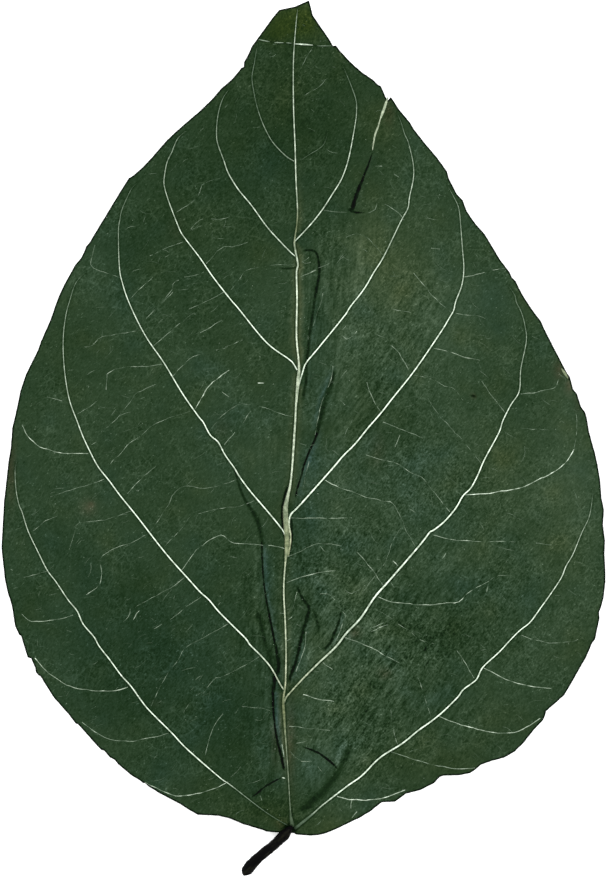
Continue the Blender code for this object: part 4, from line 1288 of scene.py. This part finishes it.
def add_flake(tubes, line, upper, width, crest, tone, stain=0.0):
    """A flat-bottomed flake along a line, highest and widest in its middle."""
    shape = np.sin(np.linspace(FLAKE_END, math.pi - FLAKE_END, len(line)))
    reach = width / 2 * shape
    levels = (upper + crest * shape, upper, upper - LOOSE_SINK, upper - LOOSE_FOOT)
    tubes.add(line, (reach, reach), levels, tone, stain)


def leaf_flakes(fields):
    """Pale flakes where the blade is creased or torn, and specks all over its upper face."""
    rng = random.Random(SEED)
    tubes = Tubes(FLAKE_SIDES)
    for pixels, width, level, stain in FLAKES:
        line = smooth_line(pixels, FLAKE_STEP)
        upper = upper_height(line, fields)
        add_flake(tubes, line, upper, width * MM, FLAKE_CREST, level, stain)
    lines = fleck_lines(fields)
    for line, upper in zip(lines, upper_heights(lines, fields)):
        width = FLECK_WIDTH * math.dist(line[0], line[1])
        add_flake(tubes, line, upper, width, FLECK_CREST, rng.triangular(*FLECK_LEVELS))
    return tubes.mesh("leaf_flakes", vein_material())


def stalk_stations():
    """Middle points, radii and heights of the stalk's rings, about STALK_STEP apart."""
    pixels = [knot[:2] for knot in STALK]
    line = smooth_line(pixels, STALK_STEP)
    along = lengths_along([placed(pixel) for pixel in pixels])
    wanted = np.linspace(0.0, along[-1], len(line))
    radii, heights = (np.interp(wanted, along, [knot[i] for knot in STALK]) * MM for i in (2, 3))
    return line, radii, heights


def stalk_ring(middle, across, radius, height, share):
    """One ring round the stalk, wrinkled lengthwise and pitted."""
    ring = []
    for k in range(STALK_SIDES):
        turn = math.tau * k / STALK_SIDES
        aside, up = math.cos(turn), math.sin(turn)
        wrinkle = sum(noise.noise(Vector((aside * fine, up * fine, share * along))) * strength
                      for fine, along, strength in STALK_WRINKLES)
        reach = radius + STALK_WRINKLE * wrinkle * min(1.0, radius / STALK_FULL)
        x, y = middle + across * reach * aside
        ring.append((x, y, max(STALK_FLOOR, height + reach * up)))
    return ring


def leaf_stalk():
    """The stalk: a shrivelled stub with a broken end, running up on to the blade's base."""
    line, radii, heights = stalk_stations()
    shares = np.linspace(0.0, 1.0, len(line))
    tube = Tubes(STALK_SIDES)
    for station in zip(line, leftward(directions(line)), radii, heights, shares):
        tube.points += stalk_ring(*station)
    tube.close(0, len(line))
    return tube.mesh("stalk", stalk_material())


class Shader:
    """A material, and short ways to add and join its nodes."""

    def __init__(self, name):
        self.material = bpy.data.materials.new(name)
        self.material.use_nodes = True
        self.tree = self.material.node_tree
        self.surface = self.tree.nodes["Principled BSDF"]
        self.place = self.node("ShaderNodeTexCoord").outputs["Object"]

    def node(self, kind, **settings):
        """A new node of the material."""
        node = self.tree.nodes.new(kind)
        for setting, value in settings.items():
            setattr(node, setting, value)
        return node

    def put(self, socket, value):
        """Links the socket to another one, or sets it to a plain value."""
        if isinstance(value, bpy.types.NodeSocket):
            self.tree.links.new(value, socket)
        else:
            socket.default_value = value

    def set(self, **values):
        """Sets sockets of the surface shader; an underscore stands for a space."""
        for name, value in values.items():
            self.put(self.surface.inputs[name.replace("_", " ")], value)

    def stretched(self, turn, stretch):
        """Places turned about the vertical and drawn out along the turned X axis."""
        node = self.node("ShaderNodeMapping", vector_type="TEXTURE")
        self.put(node.inputs["Vector"], self.place)
        node.inputs["Rotation"].default_value = (0, 0, turn)
        node.inputs["Scale"].default_value = (stretch, 1, 1)
        return node.outputs["Vector"]

    def noise(self, size, detail=2.0, roughness=0.5, place=None):
        """Noise from 0 to 1 whose blobs are about size across."""
        node = self.node("ShaderNodeTexNoise")
        self.put(node.inputs["Vector"], place or self.place)
        node.inputs["Scale"].default_value = 1 / size
        node.inputs["Detail"].default_value = detail
        node.inputs["Roughness"].default_value = roughness
        return node.outputs["Fac"]

    def net(self, size):
        """Distance from the edges of a net of cells about size across."""
        node = self.node("ShaderNodeTexVoronoi", feature="DISTANCE_TO_EDGE")
        self.put(node.inputs["Vector"], self.place)
        node.inputs["Scale"].default_value = 1 / size
        return node.outputs["Distance"]

    def mark(self, name):
        return self.node("ShaderNodeAttribute", attribute_name=name).outputs["Fac"]

    def math(self, operation, *values):
        node = self.node("ShaderNodeMath", operation=operation)
        for socket, value in zip(node.inputs, values):
            self.put(socket, value)
        return node.outputs[0]

    def centred(self, value):
        """Noise from -0.5 to 0.5."""
        return self.math("SUBTRACT", value, 0.5)

    def lifted(self, level, share, by):
        """The level plus by, as far as share says."""
        return self.math("MULTIPLY_ADD", share, by, level)

    def darkened(self, level, share, by):
        """The level less by of itself, as far as share says."""
        return self.math("MULTIPLY", level, self.lifted(1.0, share, -by))

    def between(self, value, low, high, to_low=0.0, to_high=1.0):
        """The value's place between low and high, eased, as a number from to_low to to_high."""
        node = self.node("ShaderNodeMapRange", interpolation_type="SMOOTHSTEP")
        for socket, number in zip(node.inputs, (value, low, high, to_low, to_high)):
            self.put(socket, number)
        return node.outputs[0]

    def mix(self, share, first, second, blend="MIX"):
        node = self.node("ShaderNodeMix", data_type="RGBA", blend_type=blend)
        self.put(node.inputs[0], share)
        self.put(node.inputs[6], first)
        self.put(node.inputs[7], second)
        return node.outputs[2]

    def bump(self, height, strength, distance):
        """Gives the surface a relief that isn't in its mesh."""
        node = self.node("ShaderNodeBump")
        node.inputs["Strength"].default_value = strength
        node.inputs["Distance"].default_value = distance
        self.put(node.inputs["Height"], height)
        self.put(self.surface.inputs["Normal"], node.outputs["Normal"])


def seen(red, green, blue):
    """The surface colour that shows as these 0 to 255 screen values in the studio's light."""
    found = []
    for value in (red, green, blue):
        share = value / 255
        shown = share / 12.92 if share <= 0.04045 else ((share + 0.055) / 1.055) ** 2.4
        found.append(max(0.0004, (shown - GLOSS) / LIGHT))
    return (*found, 1.0)


def share_between(value, ends):
    """How far the value is from the first end to the second, from 0 to 1."""
    low, high = ends
    return min(1.0, max(0.0, (value - low) / (high - low)))


def leaf_tint(shader, level):
    """The leaf's colour at a screen level: the same step of hue at every brightness."""
    node = shader.node("ShaderNodeValToRGB")
    stops = node.color_ramp.elements
    stops.remove(stops[1])
    for i, stop in enumerate(LEAF_LEVELS):
        element = stops.new(stop / BRIGHTEST) if i else stops[0]
        share = share_between(stop, TINT_LEVELS)
        pale = share_between(stop, PALE_LEVELS)
        shifts = [dark + pale * (light - dark) for dark, light in zip(LEAF_TINT, BRIGHT_TINT)]
        element.color = seen(*(stop + share * shift for shift in shifts))
    shader.put(node.inputs["Fac"], shader.math("DIVIDE", level, BRIGHTEST))
    return node.outputs["Color"]


def strokes(shader, turn, shift):
    """Faint pale strokes, drawn out along one direction."""
    shifted = shader.node("ShaderNodeMapping")
    shader.put(shifted.inputs["Vector"], shader.stretched(turn, STROKE_STRETCH))
    shifted.inputs["Location"].default_value = (0, 0, shift)
    raw = shader.noise(STROKE_SIZE, 2.0, 0.6, shifted.outputs["Vector"])
    return shader.between(raw, 0.62, 0.76)


def mottled(shader, level):
    """The level with mottling and grain, more of them where the skin is rough, and the painted
    light and shade of wrinkles.
    """
    rough = shader.between(shader.noise(6 * MM, 2.0), 0.35, 0.65, 0.50, 0.90)
    rough = shader.lifted(rough, shader.mark("rough"), 1.0)
    places = (None, None, shader.stretched(GRAIN_TURN, GRAIN_STRETCH))
    for (size, detail, swing), place in zip(MOTTLES, places):
        mottle = shader.centred(shader.noise(size, detail, 0.65, place))
        level = shader.lifted(level, shader.math("MULTIPLY", mottle, rough), swing)
    for mark, turn in WRINKLE_TURNS.items():
        place = shader.stretched(turn, WRINKLE_STRETCH)
        streak = shader.centred(shader.noise(WRINKLE_SIZE, 2.0, 0.6, place))
        streak = shader.math("MULTIPLY", streak, shader.mark(mark))
        level = shader.lifted(level, streak, WRINKLE_SHADING_SWING)
    return level


def skin_level(shader):
    """How bright the upper face is, as a screen level: zones, mottling, grain and strokes."""
    zones = shader.centred(shader.noise(ZONE_SIZE, 3.0, 0.6))
    level = mottled(shader, shader.lifted(SKIN_LEVEL, zones, ZONE_SWING))
    level = shader.lifted(level, shader.mark("deep"), DEEP_LEVEL)
    level = shader.lifted(level, shader.mark("pale"), PALE_LEVEL)
    scratched = shader.lifted(0.7, shader.mark("rough"), 1.2)
    for turn, shift in STROKE_TURNS:
        stroke = shader.math("MULTIPLY", strokes(shader, turn, shift), scratched)
        level = shader.lifted(level, stroke, STROKE_LEVEL)
    speck = shader.noise(SPECK_SIZE, 1.0, 0.5, shader.stretched(0.6, 2.2))
    level = shader.lifted(level, shader.between(speck, 0.66, 0.80), SPECK_LEVEL)
    return shader.lifted(level, shader.between(speck, 0.34, 0.20), PIT_LEVEL)


def crease_shade(shader, wobble):
    """How much painted shade darkens the skin in the creases, with uneven edges and in patches."""
    edge = shader.lifted(shader.mark("crease"), wobble, 2.0)
    inner = shader.lifted(0.65, shader.mark("soft"), -0.65)
    outer = shader.lifted(1.35, shader.mark("soft"), 0.85)
    crease = shader.between(edge, inner, outer, 1.0, 0.0)
    patchy = shader.between(shader.noise(1.1 * MM, 3.0, 0.6), 0.30, 0.55, 0.62, 1.0)
    return shader.math("MULTIPLY", crease, shader.math("MULTIPLY", shader.mark("dark"), patchy))


def line_level(shader, level, net):
    """The level with hair veins and a painted highlight beside creases added, and painted shade
    beside ribs, in creases and along the rim.
    """
    hair = shader.between(net, 0.0, CELL_VEIN, 1.0, 0.0)
    some = shader.between(shader.noise(6 * MM, 2.0), 0.45, 0.62)
    level = shader.lifted(level, shader.math("MULTIPLY", hair, some), CELL_LEVEL)
    # painted highlight on the skin beside the lit side of creases
    uneven = shader.between(shader.noise(0.7 * MM, 4.0, 0.7), 0.3, 0.7, 0.4, 1.0)
    level = shader.lifted(level, shader.math("MULTIPLY", shader.mark("lit"), uneven), LIT_LEVEL)
    level = shader.lifted(level, shader.mark("halo"), HALO_LEVEL)
    # painted shade in the groove beside each rib
    groove = shader.between(shader.mark("beside"), 0.15, 0.38, 1.0, 0.0)
    groove = shader.math("MULTIPLY", groove, shader.mark("rib"))
    level = shader.darkened(level, groove, GROOVE_SHADE)
    wobble = shader.centred(shader.noise(0.5 * MM, 3.0, 0.6))
    # painted shade in the creases
    level = shader.darkened(level, crease_shade(shader, wobble), CREASE_SHADE)
    # painted shade along the margin's edge
    rim = shader.lifted(shader.mark("rim"), wobble, 0.25)
    return shader.darkened(level, shader.between(rim, 0.10, 0.38, 1.0, 0.0), RIM_SHADE)


def skin_colour(shader, net):
    """The upper face: one run of greens, warmer and cooler in places."""
    tint = leaf_tint(shader, line_level(shader, skin_level(shader), net))
    zone = shader.noise(7 * MM, 1.0, 0.5)
    tint = shader.mix(shader.between(zone, 0.50, 0.95), tint, HUES["teal_and_sheen"], "MULTIPLY")
    tint = shader.mix(shader.between(zone, 0.50, 0.05), tint, HUES["olive"], "MULTIPLY")
    for mark, hue in HUES.items():
        tint = shader.mix(shader.mark(mark), tint, hue, "MULTIPLY")
    return tint


def underside_colour(shader, net):
    """The lower face: a paler grey green, with a yellower net."""
    tint = shader.mix(shader.noise(9 * MM, 3.0), *(seen(*colour) for colour in UNDER_SKIN))
    vein = shader.between(net, 0.0, 0.12, 1.0, 0.0)
    return shader.mix(shader.math("MULTIPLY", vein, 0.5), tint, seen(*UNDER_VEIN))


def skin_material():
    """The skin: green above and paler below, with a fine net and a rough relief."""
    shader = Shader("dried leaf skin")
    net = shader.net(CELL_SIZE)
    tint = shader.mix(shader.mark("under"), skin_colour(shader, net),
                      underside_colour(shader, net))
    shader.set(Base_Color=tint, Roughness=0.60, Specular_IOR_Level=0.05)
    vein = shader.between(net, 0.0, CELL_VEIN, 0.25, 0.0)
    rough = shader.math("ADD", shader.noise(0.8 * MM, 5.0, 0.65), vein)
    shader.bump(rough, 0.55, 0.10 * MM)
    return shader.material


def vein_material():
    """Veins: their tone is a screen level, broken up in beads, and browner where stained."""
    shader = Shader("dried leaf vein")
    bead = shader.between(shader.noise(0.8 * MM, 3.0, 0.65), 0.3, 0.7, 0.80, 1.20)
    level = shader.math("MULTIPLY", shader.mark("tone"), bead)
    tint = shader.mix(shader.mark("stain"), leaf_tint(shader, level), STAINED, "MULTIPLY")
    tint = shader.mix(shader.mark("under"), tint, seen(*UNDER_VEIN))
    shader.set(Base_Color=tint, Roughness=0.62, Specular_IOR_Level=0.10)
    shader.bump(shader.noise(0.3 * MM, 3.0, 0.6), 0.4, 0.04 * MM)
    return shader.material


def stalk_material():
    """The stalk: nearly black, with greyer patches drawn out along it."""
    shader = Shader("shrivelled stalk")
    along = shader.stretched(STALK_TURN, 3.0)
    patch = shader.between(shader.noise(0.7 * MM, 4.0, 0.65, along), 0.48, 0.72)
    tint = shader.mix(patch, *(seen(*colour) for colour in STALK_COLOURS))
    shader.set(Base_Color=tint, Roughness=0.70, Specular_IOR_Level=0.05)
    shader.bump(shader.noise(0.35 * MM, 5.0, 0.7, along), 0.8, 0.12 * MM)
    return shader.material


def floor_material():
    """A plain white light table, which glows a little, as the photograph has no shadow."""
    shader = Shader("pale floor")
    tint = shader.mix(shader.noise(0.4, 2.0), *FLOOR_TINTS)
    shader.set(Base_Color=tint, Roughness=0.9, Specular_IOR_Level=0.1,
               Emission_Color=(1.0, 1.0, 1.0, 1.0), Emission_Strength=FLOOR_GLOW)
    return shader.material


def floor():
    """The table's top, a hair below the leaf."""
    half = FLOOR_HALF
    corners = [(-half, -half), (half, -half), (half, half), (-half, half)]
    return add_mesh("floor", [(x, y, -FLOOR_DROP) for x, y in corners], [(0, 1, 2, 3)],
                    floor_material(), {})


def area_light(name, place, size, power):
    """A square light that faces the leaf's middle."""
    light = bpy.data.lights.new(name, "AREA")
    light.size = size
    light.energy = power
    obj = bpy.data.objects.new(name, light)
    obj.location = place
    obj.rotation_euler = (-Vector(place)).to_track_quat("-Z", "Y").to_euler()
    bpy.context.scene.collection.objects.link(obj)


def studio():
    """Soft light from all round, a little stronger from the upper left."""
    for name, (place, size, power) in LIGHTS.items():
        area_light(name, place, size, power)
    world = bpy.data.worlds.new("studio")
    world.use_nodes = True
    background = world.node_tree.nodes["Background"]
    background.inputs["Color"].default_value = SKY
    background.inputs["Strength"].default_value = SKY_STRENGTH
    bpy.context.scene.world = world
    bpy.context.scene.view_settings.view_transform = "Standard"


def camera():
    """The camera, straight above, with the tip at the top of its frame."""
    data = bpy.data.cameras.new("camera")
    data.lens = LENS
    data.sensor_width = SENSOR
    obj = bpy.data.objects.new("camera", data)
    x, y = placed(CAMERA_PIXEL)
    distance = PHOTO_SIZE[1] * UNIT * LENS / SENSOR
    obj.location = (x, y, FOCUS_HEIGHT + distance)
    bpy.context.scene.collection.objects.link(obj)
    bpy.context.scene.camera = obj


def main():
    """The leaf's pieces, what they stand for in the part, and the studio round them."""
    fields = Fields()
    skin = leaf_skin(fields)
    blade = [skin, leaf_ribs(fields), leaf_net(fields), leaf_veinlets(fields),
             leaf_flakes(fields)]
    for piece in blade:
        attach(piece, "root")
        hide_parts("leaf_blade")
    stalk = leaf_stalk()
    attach(stalk, "root")
    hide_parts("leaf_stalk")
    floor()
    studio()
    camera()


main()
